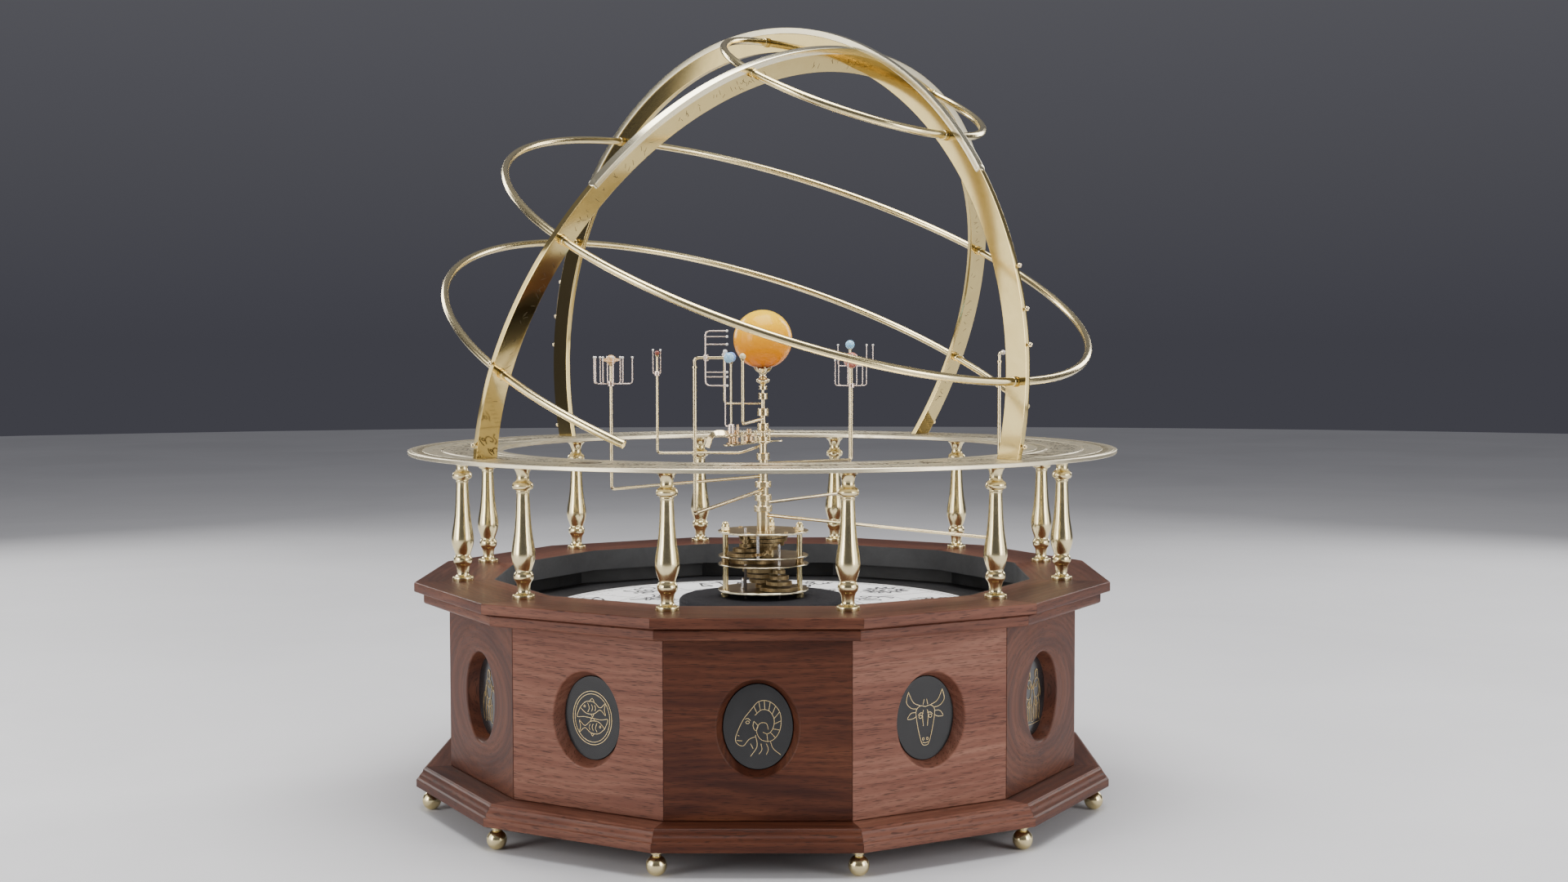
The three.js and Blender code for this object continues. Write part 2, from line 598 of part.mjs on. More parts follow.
// Uranus lies on its side: an upright bar on the hook holds its moon wires level.
function uranusFrame(p) {
  const z = p.ball[0];
  const { hub } = uranusHook;
  const centre = beside(p, hub, z);
  const collar = hoop(p.wire * HOOK_SHARE + GAP, 3.2, -2, 2, 10).rotateY(Math.PI / 2);
  const parts = [collar.rotateZ(toRad(p.azimuth)).translate(...centre.toArray())];
  const out = (offset) => beside(p, hub, z + offset).add(at(2.4, p.azimuth, 0));
  const lowest = Math.min(...uranusMoons.offsets);
  const highest = Math.max(...uranusMoons.offsets);
  parts.push(rodBetween(out(lowest - 0.6), out(highest + 0.6), 0.8, 5));
  uranusMoons.offsets.forEach((offset) => {
    const tip = beside(p, hub + uranusMoons.reach, z + offset).add(at(2.4, p.azimuth, 0));
    parts.push(rodBetween(out(offset), tip, 0.6, 4), ballAt(tip, 1.3, 4, 2));
  });
  return join(...parts);
}

function saturnBall(p) {
  const centre = at(p.reach, p.azimuth, p.ball[0]);
  const halo = hoop(p.ball[1] - 2, 9.4, -0.5, 0.5, 16).rotateX(toRad(10)).translate(...centre.toArray());
  return join(ballAt(centre, p.ball[1]), halo);
}

function buildPlanets() {
  planets.forEach((p, index) => {
    const hookEnd = { uranus: uranusHook.planet - p.ball[1] - GAP, pluto: plutoHook }[p.name];
    let geometry;
    if (p.name === 'earth') geometry = earthArm(index);
    else if (hookEnd) geometry = hookedArm(index, hookEnd);
    else geometry = armGeometry(index);
    add(`${p.name}_arm`, geometry, brass);
    const offset = { uranus: uranusHook.planet, pluto: plutoHook + p.ball[1] + GAP }[p.name] ?? 0;
    const ball = p.name === 'saturn' ? saturnBall(p) : ballAt(beside(p, offset, p.ball[0]), p.ball[1]);
    add(p.name, ball, { color: ballColours[p.name], roughness: 0.4, metalness: 0 });
  });
  const find = (name) => planets.find((p) => p.name === name);
  add('moon_arm', moonArm(find('earth')), steel);
  add('mars_moons', moonBasket(find('mars'), marsMoons, 0.5), steel);
  add('jupiter_moons', moonBasket(find('jupiter'), jupiterMoons), steel);
  add('saturn_moons', moonBasket(find('saturn'), saturnMoons), steel);
  add('neptune_moons', moonBasket(find('neptune'), neptuneMoons), steel);
  add('uranus_moons', uranusFrame(find('uranus')), steel);
}

buildCabinet();
buildPad();
buildBalustrade();
buildDome();
buildFrame();
buildCentre();
buildLayshafts();
buildPlanets();

export default orrery;
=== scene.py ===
"""Looks of the orrery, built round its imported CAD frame.

Shape sizes are in millimetres and become metres when a piece is made. +Z is up, and azimuths run in
degrees from the front (-Y) towards +X.
"""
import math
import random

import bmesh
import bpy
from mathutils import Matrix, Vector


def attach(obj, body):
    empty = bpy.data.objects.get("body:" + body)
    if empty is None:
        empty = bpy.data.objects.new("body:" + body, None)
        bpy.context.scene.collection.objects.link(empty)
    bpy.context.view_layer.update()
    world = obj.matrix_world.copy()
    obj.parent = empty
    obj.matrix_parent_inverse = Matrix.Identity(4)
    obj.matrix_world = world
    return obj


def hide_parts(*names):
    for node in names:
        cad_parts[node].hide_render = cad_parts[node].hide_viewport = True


MM = 0.001
TAU = 2 * math.pi
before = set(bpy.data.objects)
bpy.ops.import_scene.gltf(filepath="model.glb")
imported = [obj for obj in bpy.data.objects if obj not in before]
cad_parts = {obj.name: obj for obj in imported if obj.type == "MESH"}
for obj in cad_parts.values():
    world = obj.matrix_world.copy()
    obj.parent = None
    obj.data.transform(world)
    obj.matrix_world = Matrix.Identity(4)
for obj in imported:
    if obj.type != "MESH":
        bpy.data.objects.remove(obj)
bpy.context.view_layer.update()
rng = random.Random(7)


# ------------------------------------------------------------------ camera, light and floor
camera = bpy.data.objects.new("camera", bpy.data.cameras.new("camera"))
bpy.context.scene.collection.objects.link(camera)
bpy.context.scene.camera = camera
camera.data.sensor_width = 36
camera.data.lens = 44.59
camera.data.clip_end = 50
camera.matrix_world = (
    Matrix.Translation((0.0355, -2.1122, 0.4913))
    @ Matrix.Rotation(math.radians(0.343), 4, "Z")
    @ Matrix.Rotation(math.radians(87.047), 4, "X")
    @ Matrix.Rotation(math.radians(-0.098), 4, "Z")
)


def softbox(name, place, aim, wide, high, power, colour=(1, 1, 1)):
    light = bpy.data.lights.new(name, "AREA")
    light.shape = "RECTANGLE"
    light.size, light.size_y = wide, high
    light.energy = power
    light.color = colour
    o = bpy.data.objects.new(name, light)
    bpy.context.scene.collection.objects.link(o)
    o.location = place
    o.rotation_mode = "QUATERNION"
    o.rotation_quaternion = (Vector(aim) - Vector(place)).to_track_quat("-Z", "Y")


softbox("left_box", (-2.2, -1.7, 0.9), (0, 0, 0.3), 1.0, 1.5, 40, (1, 0.985, 0.96))
softbox("right_box", (2.2, -1.7, 0.9), (0, 0, 0.3), 1.0, 1.5, 36, (1, 0.99, 0.98))
softbox("left_side", (-2.6, -0.45, 0.95), (0, 0, 0.5), 1.3, 1.8, 16, (1, 0.985, 0.96))
softbox("right_side", (2.6, -0.45, 0.95), (0, 0, 0.5), 1.3, 1.8, 15, (1, 0.99, 0.98))
softbox("overhead", (0.1, -0.2, 2.5), (0, 0, 0.4), 1.8, 1.8, 92, (1, 0.99, 0.975))
softbox("left_back", (-1.9, 2.1, 1.5), (0, 0, 0.5), 0.8, 1.8, 34, (1, 0.985, 0.96))
softbox("right_back", (1.9, 2.1, 1.5), (0, 0, 0.5), 0.8, 1.8, 34, (1, 0.99, 0.98))

world = bpy.data.worlds.new("studio")
bpy.context.scene.world = world
world.use_nodes = True
sky = world.node_tree
height = sky.nodes.new("ShaderNodeSeparateXYZ")
shade = sky.nodes.new("ShaderNodeValToRGB")
sky.links.new(sky.nodes.new("ShaderNodeTexCoord").outputs["Generated"], height.inputs[0])
sky.links.new(height.outputs["Z"], shade.inputs[0])
sky.links.new(shade.outputs[0], sky.nodes["Background"].inputs["Color"])
shade.color_ramp.elements[0].color = (0.075, 0.075, 0.092, 1)
shade.color_ramp.elements[1].position = 0.9
shade.color_ramp.elements[1].color = (0.34, 0.34, 0.36, 1)
sky.nodes["Background"].inputs["Strength"].default_value = 0.75


# ------------------------------------------------------------------ materials
class Look:
    """A material whose shader is fed by procedural nodes."""

    def __init__(self, name, **sockets):
        self.material = bpy.data.materials.new(name)
        self.material.use_nodes = True
        self.tree = self.material.node_tree
        self.shader = self.tree.nodes["Principled BSDF"]
        for key, value in sockets.items():
            self.shader.inputs[key.replace("_", " ")].default_value = value

    def node(self, kind, inputs, **settings):
        n = self.tree.nodes.new("ShaderNode" + kind)
        for key, value in settings.items():
            setattr(n, key, value)
        for key, value in inputs.items():
            if isinstance(value, bpy.types.NodeSocket):
                self.tree.links.new(value, n.inputs[key])
            else:
                n.inputs[key].default_value = value
        return n

    def object_space(self, stretch=(1, 1, 1)):
        source = self.node("TexCoord", {}).outputs["Object"]
        return self.node("Mapping", {"Vector": source, "Scale": stretch}).outputs[0]

    def attribute(self, name, output):
        return self.node("Attribute", {}, attribute_name=name).outputs[output]

    def noise(self, vector, scale, detail=3.0, roughness=0.5, distortion=0.0):
        inputs = {"Vector": vector, "Scale": scale, "Detail": detail,
                  "Roughness": roughness, "Distortion": distortion}
        return self.node("TexNoise", inputs).outputs["Fac"]

    def ramp(self, fac, stops):
        n = self.node("ValToRGB", {"Fac": fac})
        while len(n.color_ramp.elements) < len(stops):
            n.color_ramp.elements.new(0.5)
        for element, (position, colour) in zip(n.color_ramp.elements, stops):
            element.position = position
            element.color = (*colour, 1) if isinstance(colour, tuple) else (colour,) * 3 + (1,)
        return n.outputs["Color"]

    def span(self, fac, low, high):
        return self.node("MapRange", {"Value": fac, "To Min": low, "To Max": high}).outputs[0]

    def mix(self, fac, a, b, blend="MIX"):
        n = self.node("Mix", {}, data_type="RGBA", blend_type=blend)
        for key, value in ((0, fac), (6, a), (7, b)):
            if isinstance(value, bpy.types.NodeSocket):
                self.tree.links.new(value, n.inputs[key])
            else:
                n.inputs[key].default_value = (*value, 1) if isinstance(value, tuple) else value
        return n.outputs[2]

    def sum(self, a, b, weight):
        return self.node("Math", {0: b, 1: weight, 2: a}, operation="MULTIPLY_ADD").outputs[0]

    def bump(self, height, strength, distance):
        inputs = {"Height": height, "Strength": strength, "Distance": distance}
        self.feed("Normal", self.node("Bump", inputs).outputs[0])

    def feed(self, socket, value):
        self.tree.links.new(value, self.shader.inputs[socket])


def walnut():
    look = Look("walnut", Coat_Weight=0.04, Coat_Roughness=0.2, Specular_IOR_Level=0.22)
    grain = look.attribute("grain", "Vector")
    tone_and_light = look.attribute("tone_and_light", "Fac")
    broad_space = look.node("Mapping", {"Vector": grain, "Scale": (2.0, 11, 11)}).outputs[0]
    broad = look.noise(broad_space, 1.6, 4.0, 0.55, 1.1)
    wavy = look.node("Mapping", {"Vector": grain, "Scale": (0.17, 1, 1)}).outputs[0]
    rings = look.node("TexWave", {"Vector": wavy, "Scale": 34.0, "Distortion": 17.0, "Detail": 2.0,
                                  "Detail Scale": 0.62, "Detail Roughness": 0.5},
                      wave_type="BANDS", bands_direction="Y", wave_profile="SIN").outputs["Fac"]
    line_space = look.node("Mapping", {"Vector": grain, "Scale": (7, 260, 260)}).outputs[0]
    lines = look.noise(line_space, 1.0, 5.0, 0.7, 0.3)
    pore_space = look.node("Mapping", {"Vector": grain, "Scale": (80, 1300, 1300)}).outputs[0]
    pores = look.ramp(look.noise(pore_space, 1.0, 1.0), [(0.32, 0.0), (0.44, 1.0)])
    figure = look.sum(look.sum(look.sum(0.02, rings, 0.09), broad, 0.60), lines, 0.24)
    dark = look.ramp(figure, [(0.30, (0.030, 0.0072, 0.0034)), (0.44, (0.058, 0.0150, 0.0062)),
                              (0.56, (0.090, 0.0260, 0.0105)), (0.74, (0.150, 0.050, 0.021))])
    light = look.ramp(figure, [(0.30, (0.170, 0.057, 0.036)), (0.44, (0.255, 0.103, 0.068)),
                               (0.56, (0.320, 0.145, 0.100)), (0.74, (0.400, 0.210, 0.150))])
    # the tone mixes the dark and light walnut; on the cabinet facets it is painted light and shade
    body = look.mix(tone_and_light, dark, light)
    body = look.mix(look.span(pores, 0.6, 0.0), body, (0.012, 0.0045, 0.0025))
    look.feed("Base Color", body)
    look.feed("Roughness", look.span(lines, 0.36, 0.62))
    look.bump(look.sum(look.sum(0.0, pores, 0.7), lines, 0.5), 0.35, 0.00012)
    return look.material


def metal(name, colour, dark, roughness, streak=(1, 1, 1), wear=0.35, grain=260.0, depth=0.00002):
    look = Look(name, Metallic=1.0)
    space = look.object_space(streak)
    patches = look.noise(look.object_space(), 38.0, 4.0, 0.6, 0.4)
    fine = look.noise(space, grain, 3.0, 0.6)
    spread = look.ramp(patches, [(0.35, 0.0), (0.75, 1.0)])
    look.feed("Base Color", look.mix(look.span(spread, 0.0, wear), colour, dark))
    low, high = roughness
    look.feed("Roughness", look.span(look.sum(look.sum(0.0, patches, 0.55), fine, 0.45), low, high))
    look.bump(fine, 0.25, depth)
    return look.material


def coated(name, colours, scale, roughness, coat=0.0, stretch=(1, 1, 1), bump=(0.3, 0.0001), **sockets):
    look = Look(name, Coat_Weight=coat, Coat_Roughness=0.08, **sockets)
    cloud = look.noise(look.object_space(stretch), scale, 4.0, 0.55, 0.6)
    last = len(colours) - 1
    stops = [(0.32 + 0.36 * k / last, c) for k, c in enumerate(colours)]
    look.feed("Base Color", look.ramp(cloud, stops))
    fine = look.noise(look.object_space(), scale * 14, 2.0)
    look.feed("Roughness", look.span(fine, *roughness))
    look.bump(fine, *bump)
    return look.material


WALNUT = walnut()
POLISHED = metal("polished_brass", (0.86, 0.73, 0.40), (0.72, 0.55, 0.25), (0.14, 0.22), depth=0.000002)
# painted shade: the bands are the same polished brass as the tubes, made darker to paint in the dark room
# they reflect
SHADED_BAND = metal("shaded_band_brass", (0.66, 0.52, 0.23), (0.50, 0.37, 0.14), (0.05, 0.13), wear=0.4, depth=0.000003)
TURNED = metal("turned_brass", (0.84, 0.72, 0.41), (0.66, 0.51, 0.24), (0.15, 0.27), (1, 1, 26), 0.3,
               depth=0.00001)
PALE = metal("pale_brass", (0.80, 0.67, 0.40), (0.60, 0.44, 0.22), (0.14, 0.26), wear=0.3, depth=0.000006)
RIM = metal("rim_brass", (0.90, 0.83, 0.60), (0.76, 0.64, 0.38), (0.12, 0.22), wear=0.3, depth=0.000004)
AGED = metal("aged_brass", (0.50, 0.37, 0.19), (0.24, 0.155, 0.075), (0.22, 0.4), wear=0.7, grain=420.0,
             depth=0.00001)
WHEEL = metal("wheel_bronze", (0.46, 0.36, 0.20), (0.24, 0.17, 0.085), (0.3, 0.5), wear=0.9, grain=420.0,
              depth=0.00001)
STEEL = metal("turned_steel", (0.66, 0.66, 0.68), (0.36, 0.36, 0.38), (0.18, 0.36), (1, 1, 20), 0.4)
COPPER = metal("copper", (0.70, 0.50, 0.30), (0.48, 0.32, 0.16), (0.2, 0.36), wear=0.6)
# painted shade: a near-black steel for the spindles' lower ends, dark so they sink into the shade between the
# plates
SHADED_STEEL = metal("shaded_steel", (0.09, 0.08, 0.075), (0.05, 0.04, 0.035), (0.35, 0.5), wear=0.5)
WIRE = metal("moon_wire", (0.84, 0.70, 0.62), (0.60, 0.44, 0.36), (0.22, 0.36), wear=0.4, depth=0.000006)
ENGRAVABLE = metal("ring_brass", (0.88, 0.80, 0.58), (0.70, 0.58, 0.36), (0.26, 0.42), wear=0.6, grain=900.0)
ENGRAVED = coated("engraving", [(0.02, 0.014, 0.008), (0.10, 0.07, 0.03)], 60.0, (0.35, 0.6), Metallic=0.4)
GOLD = metal("gold_line", (0.93, 0.74, 0.38), (0.55, 0.36, 0.14), (0.16, 0.34), wear=0.5, grain=900.0,
             depth=0.00008)
BLACK = coated("black_paint", [(0.010, 0.010, 0.011), (0.026, 0.026, 0.029)], 24.0, (0.42, 0.6))
# painted light: the liner is black paint made a little lighter than the tray's, for the light on the well's
# upper wall
LINER = coated("lit_black_liner", [(0.018, 0.019, 0.021), (0.034, 0.035, 0.038)], 20.0, (0.5, 0.7))
SLATE = coated("medallion_black", [(0.004, 0.004, 0.0045), (0.010, 0.010, 0.011)], 60.0, (0.16, 0.22),
               bump=(0.1, 0.00002), Specular_IOR_Level=0.5)
FELT = coated("charcoal_felt", [(0.006, 0.006, 0.0075), (0.024, 0.023, 0.028)], 420.0, (0.75, 0.95),
              bump=(0.6, 0.0004), Specular_IOR_Level=0.2)
CHART = coated("chart_white", [(0.88, 0.88, 0.90), (0.93, 0.93, 0.94)], 12.0, (0.5, 0.62),
               bump=(0.1, 0.00004))
INK = coated("chart_ink", [(0.012, 0.012, 0.016), (0.05, 0.05, 0.06)], 90.0, (0.5, 0.7))


SUN_LOW, SUN_HIGH = 0.461, 0.525


def sun_lacquer_painted_light():
    look = Look("sun_lacquer_painted_light", Coat_Weight=0.12, Coat_Roughness=0.03, Specular_IOR_Level=0.15)
    cloud = look.noise(look.object_space((1, 1, 1.6)), 30.0, 2.0, 0.5, 0.4)
    # painted light: with height, the colour runs from orange-red below to yellow at the top, as if lit from
    # above. The dark red at the very bottom is the dark joint at the sun's base.
    rise = look.node("SeparateXYZ", {"Vector": look.object_space()}).outputs["Z"]
    painted_top_light = look.node("MapRange", {"Value": rise, "From Min": SUN_LOW, "From Max": SUN_HIGH}).outputs[0]
    light_and_cloud = look.sum(look.sum(-0.02, painted_top_light, 0.96), cloud, 0.07)
    look.feed("Base Color", look.ramp(light_and_cloud, [(0.03, (0.13, 0.010, 0.0)), (0.10, (0.72, 0.20, 0.0)),
                                              (0.50, (0.92, 0.38, 0.0)), (0.95, (1.0, 0.62, 0.0))]))
    fine = look.noise(look.object_space(), 600.0, 2.0)
    look.feed("Roughness", look.span(fine, 0.2, 0.3))
    look.bump(cloud, 0.05, 0.0001)
    return look.material


SUN = sun_lacquer_painted_light()
PEARL = coated("moon_pearl", [(0.72, 0.70, 0.66), (0.86, 0.84, 0.80)], 500.0, (0.18, 0.3), 0.4)
# colours, scale of the clouds, roughness, coat, stretch of the clouds
PLANET_COATS = {
    "mercury": ([(0.42, 0.36, 0.30), (0.80, 0.75, 0.68)], 700.0, (0.3, 0.5), 0.3),
    "venus": ([(0.80, 0.66, 0.30), (0.92, 0.84, 0.56)], 260.0, (0.2, 0.4), 0.5, (1, 1, 3)),
    "earth": ([(0.05, 0.16, 0.55), (0.14, 0.34, 0.80), (0.42, 0.62, 0.90)], 130.0, (0.15, 0.3), 0.6,
              (1, 1, 2.2)),
    "mars": ([(0.10, 0.016, 0.010), (0.34, 0.07, 0.035)], 500.0, (0.25, 0.45), 0.5),
    "jupiter": ([(0.34, 0.07, 0.04), (0.60, 0.20, 0.14), (0.74, 0.46, 0.38)], 150.0, (0.2, 0.35), 0.5,
                (0.25, 0.25, 3)),
    "saturn": ([(0.50, 0.26, 0.09), (0.76, 0.52, 0.26)], 180.0, (0.2, 0.35), 0.5, (0.25, 0.25, 3)),
    "uranus": ([(0.20, 0.46, 0.72), (0.42, 0.66, 0.86)], 120.0, (0.15, 0.3), 0.6, (1, 1, 2)),
    "neptune": ([(0.16, 0.46, 0.76), (0.40, 0.68, 0.88)], 160.0, (0.15, 0.3), 0.6, (0.5, 0.5, 3)),
    "pluto": ([(0.36, 0.30, 0.26), (0.76, 0.71, 0.64)], 600.0, (0.3, 0.5), 0.4),
}
PLANET_LOOKS = {name: coated(f"{name}_look", *values) for name, values in PLANET_COATS.items()}
FLOOR = coated("floor_card", [(0.60, 0.60, 0.62), (0.66, 0.66, 0.68)], 1.3, (0.55, 0.75), bump=(0.05, 0.0002))


# ------------------------------------------------------------------ shape helpers, in millimetres
def at(radius, azimuth, z=0.0):
    a = math.radians(azimuth)
    return Vector((radius * math.sin(a), -radius * math.cos(a), z))


def circle(radius, sides=12):
    return [(radius * math.cos(TAU * k / sides), radius * math.sin(TAU * k / sides)) for k in range(sides)]


def soften(points, radius, steps=4, closed=False):
    """The same outline or path with its corners rounded."""
    corners, out = [Vector(p) for p in points], []
    for i, p in enumerate(corners):
        if not closed and i in (0, len(corners) - 1):
            out.append(p)
            continue
        before, after = corners[i - 1] - p, corners[(i + 1) % len(corners)] - p
        reach = min(radius, before.length * 0.48, after.length * 0.48)
        start, end = p + before.normalized() * reach, p + after.normalized() * reach
        for k in range(steps + 1):
            t = k / steps
            out.append(start * (1 - t) ** 2 + p * (2 * t * (1 - t)) + end * t * t)
    return out


def grid(rows, wrap=False):
    """Points and faces of a skin over closed rows of equal length; a one-point row is a tip."""
    points, index = [], []
    for row in rows:
        index.append(list(range(len(points), len(points) + len(row))))
        points += [Vector(p) for p in row]
    sides = max(len(row) for row in rows)
    faces = []
    pairs = list(zip(index, index[1:])) + ([(index[-1], index[0])] if wrap else [])
    for low, high in pairs:
        for k in range(sides):
            n = (k + 1) % sides
            face = [low[k % len(low)], low[n % len(low)], high[n % len(high)], high[k % len(high)]]
            face = [v for j, v in enumerate(face) if v != face[j - 1]]
            if len(face) > 2:
                faces.append(face)
    if not wrap:
        faces += [row for row in (index[0][::-1], index[-1]) if len(row) > 2]
    return points, faces


def lathe(outline, sides=64, closed=False, start=0):
    """A turned form about Z from (radius, height) points."""
    rows = []
    for r, z in outline:
        turn = range(sides) if r > 1e-6 else range(1)
        rows.append([at(r, start + 360 * k / sides, z) for k in turn])
    return grid(rows, closed)


def rod_form(radius, low, high, sides):
    return lathe([(0, low), (radius, low), (radius, high), (0, high)], sides)


def tube_form(bore, radius, low, high, sides, start=0):
    return lathe([(bore, low), (radius, low), (radius, high), (bore, high)], sides, True, start)


def strip(half, low, high):
    """A flat section for sweep."""
    return [(-half, low), (half, low), (half, high), (-half, high)]


def sweep(path, section, closed=False, up=None):
    """A section carried along a path. With up, the section's second axis keeps to that direction."""
    path = [Vector(p) for p in path]
    count, rows, side = len(path), [], None
    for i, p in enumerate(path):
        back = path[i - 1] if i or closed else p
        ahead = path[(i + 1) % count] if i < count - 1 or closed else p
        along = (ahead - back).normalized()
        if up is not None:
            side = along.cross(Vector(up)).normalized()
        elif side is None:
            side = along.orthogonal().normalized()
        else:
            side = (side - along * side.dot(along)).normalized()
        rise = side.cross(along)
        rows.append([p + side * x + rise * y for x, y in section])
    return grid(rows, closed)


def ball(radius, wide=32, high=20, centre=(0, 0, 0)):
    rows = []
    for j in range(high + 1):
        a = math.pi * j / high - math.pi / 2
        turn = range(wide) if 0 < j < high else range(1)
        rows.append([Vector(centre) + Vector((radius * math.cos(a) * math.cos(TAU * k / wide),
                                              radius * math.cos(a) * math.sin(TAU * k / wide),
                                              radius * math.sin(a))) for k in turn])
    return grid(rows)


def spline(points, steps=6):
    """A smooth curve through the points."""
    p = [Vector(q) for q in points]
    if len(p) < 3:
        return p
    ends = [p[0] * 2 - p[1], *p, p[-1] * 2 - p[-2]]
    out = []
    for a, b, c, d in zip(ends, ends[1:], ends[2:], ends[3:]):
        for k in range(steps):
            t = k / steps
            out.append((b * 2 + (c - a) * t + (a * 2 - b * 5 + c * 4 - d) * t * t
                        + (b * 3 - a - c * 3 + d) * t ** 3) / 2)
    return out + [p[-1]]


def gear(radius, low, high, bore, pitch=1.55, depth=0.7, groove=0.35):
    """A toothed wheel with a sunk web, about Z."""
    teeth = max(9, round(TAU * radius / pitch))
    tip, root = radius + depth / 2, radius - depth / 2
    edge = []
    for k in range(teeth * 4):
        r = tip if k % 4 in (1, 2) else root
        a = TAU * (k + (0.18 if k % 4 in (0, 2) else -0.18)) / (teeth * 4)
        edge.append((r * math.sin(a), -r * math.cos(a)))
    rim, hub = radius - min(2.4, radius * 0.2), max(bore + 1.2, min(bore * 1.7, radius * 0.45))

    def ring(r, z):
        return [(r * math.sin(TAU * k / len(edge)), -r * math.cos(TAU * k / len(edge)), z)
                for k in range(len(edge))]
    rows = [ring(bore, low), ring(hub, low)]
    if rim - hub > 2:
        rows += [ring(hub + 0.2, low + groove), ring(rim - 0.2, low + groove), ring(rim, low)]
    rows += [[(x, y, low) for x, y in edge], [(x, y, high) for x, y in edge]]
    if rim - hub > 2:
        rows += [ring(rim, high), ring(rim - 0.2, high - groove), ring(hub + 0.2, high - groove)]
    rows += [ring(hub, high), ring(bore, high)]
    return grid(rows, wrap=True)


class Shape:
    """Forms gathered into one object, with a wood direction and a tone for each point; on the cabinet facets
    the tone is painted light and shade.
    """

    def __init__(self):
        self.points, self.faces, self.marks, self.grain, self.tone_and_light = [], [], [], [], []

    def add(self, form, move=None, mark=0, grain=None, tone_and_light=0.5):
        points, faces = form
        start = len(self.points)
        placed = [move @ Vector(p) if move is not None else Vector(p) for p in points]
        self.points += placed
        self.faces += [[start + i for i in face] for face in faces]
        self.marks += [mark] * len(faces)
        self.grain += [grain(p) for p in placed] if grain else [Vector()] * len(placed)
        self.tone_and_light += [tone_and_light] * len(placed)
        return self

    def make(self, name, looks, body, slot, replaces=(), crease=38):
        mesh = bpy.data.meshes.new(name)
        mesh.from_pydata([p * MM for p in self.points], [], self.faces)
        for look in looks if isinstance(looks, list) else [looks]:
            mesh.materials.append(look)
        mesh.polygons.foreach_set("material_index", self.marks)
        bm = bmesh.new()
        bm.from_mesh(mesh)
        bmesh.ops.recalc_face_normals(bm, faces=bm.faces)
        for edge in bm.edges:
            edge.smooth = edge.calc_face_angle(0) < math.radians(crease)
        for face in bm.faces:
            face.smooth = True
        bm.to_mesh(mesh)
        bm.free()
        if WALNUT in mesh.materials[:]:
            values = [c * MM for g in self.grain for c in g]
            mesh.attributes.new("grain", "FLOAT_VECTOR", "POINT").data.foreach_set("vector", values)
            mesh.attributes.new("tone_and_light", "FLOAT", "POINT").data.foreach_set("value", self.tone_and_light)
        o = bpy.data.objects.new(name, mesh)
        bpy.context.scene.collection.objects.link(o)
        normals = o.modifiers.new("normals", "WEIGHTED_NORMAL")
        normals.keep_sharp = True
        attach(o, body)
        if replaces:
            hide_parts(*replaces)


def place(x=0.0, y=0.0, z=0.0):
    return Matrix.Translation((x, y, z))


def stand(radius, azimuth, z=0.0):
    """Puts a form that was made about Z at a place round the centre."""
    return place(*at(radius, azimuth)[:2], z)


def facing(point, direction):
    """Puts a form's Z axis along direction, at point."""
    return Matrix.Translation(point) @ Vector(direction).to_track_quat("Z", "Y").to_matrix().to_4x4()


def wire(points, radius, corner=3.5, sides=12):
    return sweep(soften(points, corner, 6), circle(radius, sides))


def tangent(azimuth):
    return Vector((math.cos(math.radians(azimuth)), math.sin(math.radians(azimuth)), 0))


def board_shift(seed):
    """Every board is cut from another place in the tree."""
    return Vector((seed * 731.0, seed * 417.0, seed * 193.0))


def wood(azimuth, seed, tilt=0.8):
    """Wood direction for a board whose length runs level across its facet."""
    side, out, shift = tangent(azimuth), at(1, azimuth), board_shift(seed)
    return lambda p: Vector((p.dot(side), p.z + tilt * p.dot(out), 0.4 * p.dot(out))) + shift


def arched_wood(azimuth, seed):
    """Wood direction for a board cut through the heart, whose figure runs in arches round its middle."""
    side, out, shift = tangent(azimuth), at(1, azimuth), board_shift(seed)

    def grain(p):
        x, y = p.dot(side), p.z - RECESS_Z
        return Vector((2 * x, 1.15 * math.hypot(0.75 * x, y), 0.4 * p.dot(out))) + shift
    return grain


# ------------------------------------------------------------------ sizes that match the CAD
SIDES, FLAT = 12, math.cos(math.pi / 12)
FACETS = [30 * k for k in range(SIDES)]
CORNERS = [15 + 30 * k for k in range(SIDES)]
HALF_TURN = math.tan(math.pi / SIDES)
PANEL_FACE = 339.6 * FLAT
RECESS_Z = 132.0
RING_TOP = 376.5
SPHERE_Z, SPHERE_R = 461.0, 350.0
BAND_IN, BAND_OUT, BAND_THICK = 339.0, 364.0, 6.0
LEAN = math.radians(25)
UPRIGHT = Matrix.Translation((0, 0, SPHERE_Z)) @ Matrix.Rotation(math.radians(-45), 4, "Z")
TILTED = UPRIGHT @ Matrix.Rotation(LEAN, 4, "Y")
BAND_BACK, BAND_TURN = 15.6, 2.5
ACROSS = (stand(-BAND_BACK, 45, SPHERE_Z) @ Matrix.Rotation(math.radians(BAND_TURN - 45), 4, "Z")
          @ Matrix.Rotation(LEAN, 4, "Y") @ Matrix.Rotation(math.radians(90), 4, "Z"))
RIM_START = 33
MEDALLION_SCALE, MEDALLION_TALL = 23.0, 1.12
MEDALLION_FACE = PANEL_FACE - 10.6
CHART_TOP = 201.0
UP = (0, 0, 1)
TROPIC = 23.5
PILLARS, PILLAR_CIRCLE = (-74, 69, 170), 42.5
SHAFT_CIRCLE, FAST_AT, SLOW_AT, FAST_RATE, SLOW_RATE = 30.0, 35.7, -39.0, 1.8, 0.04

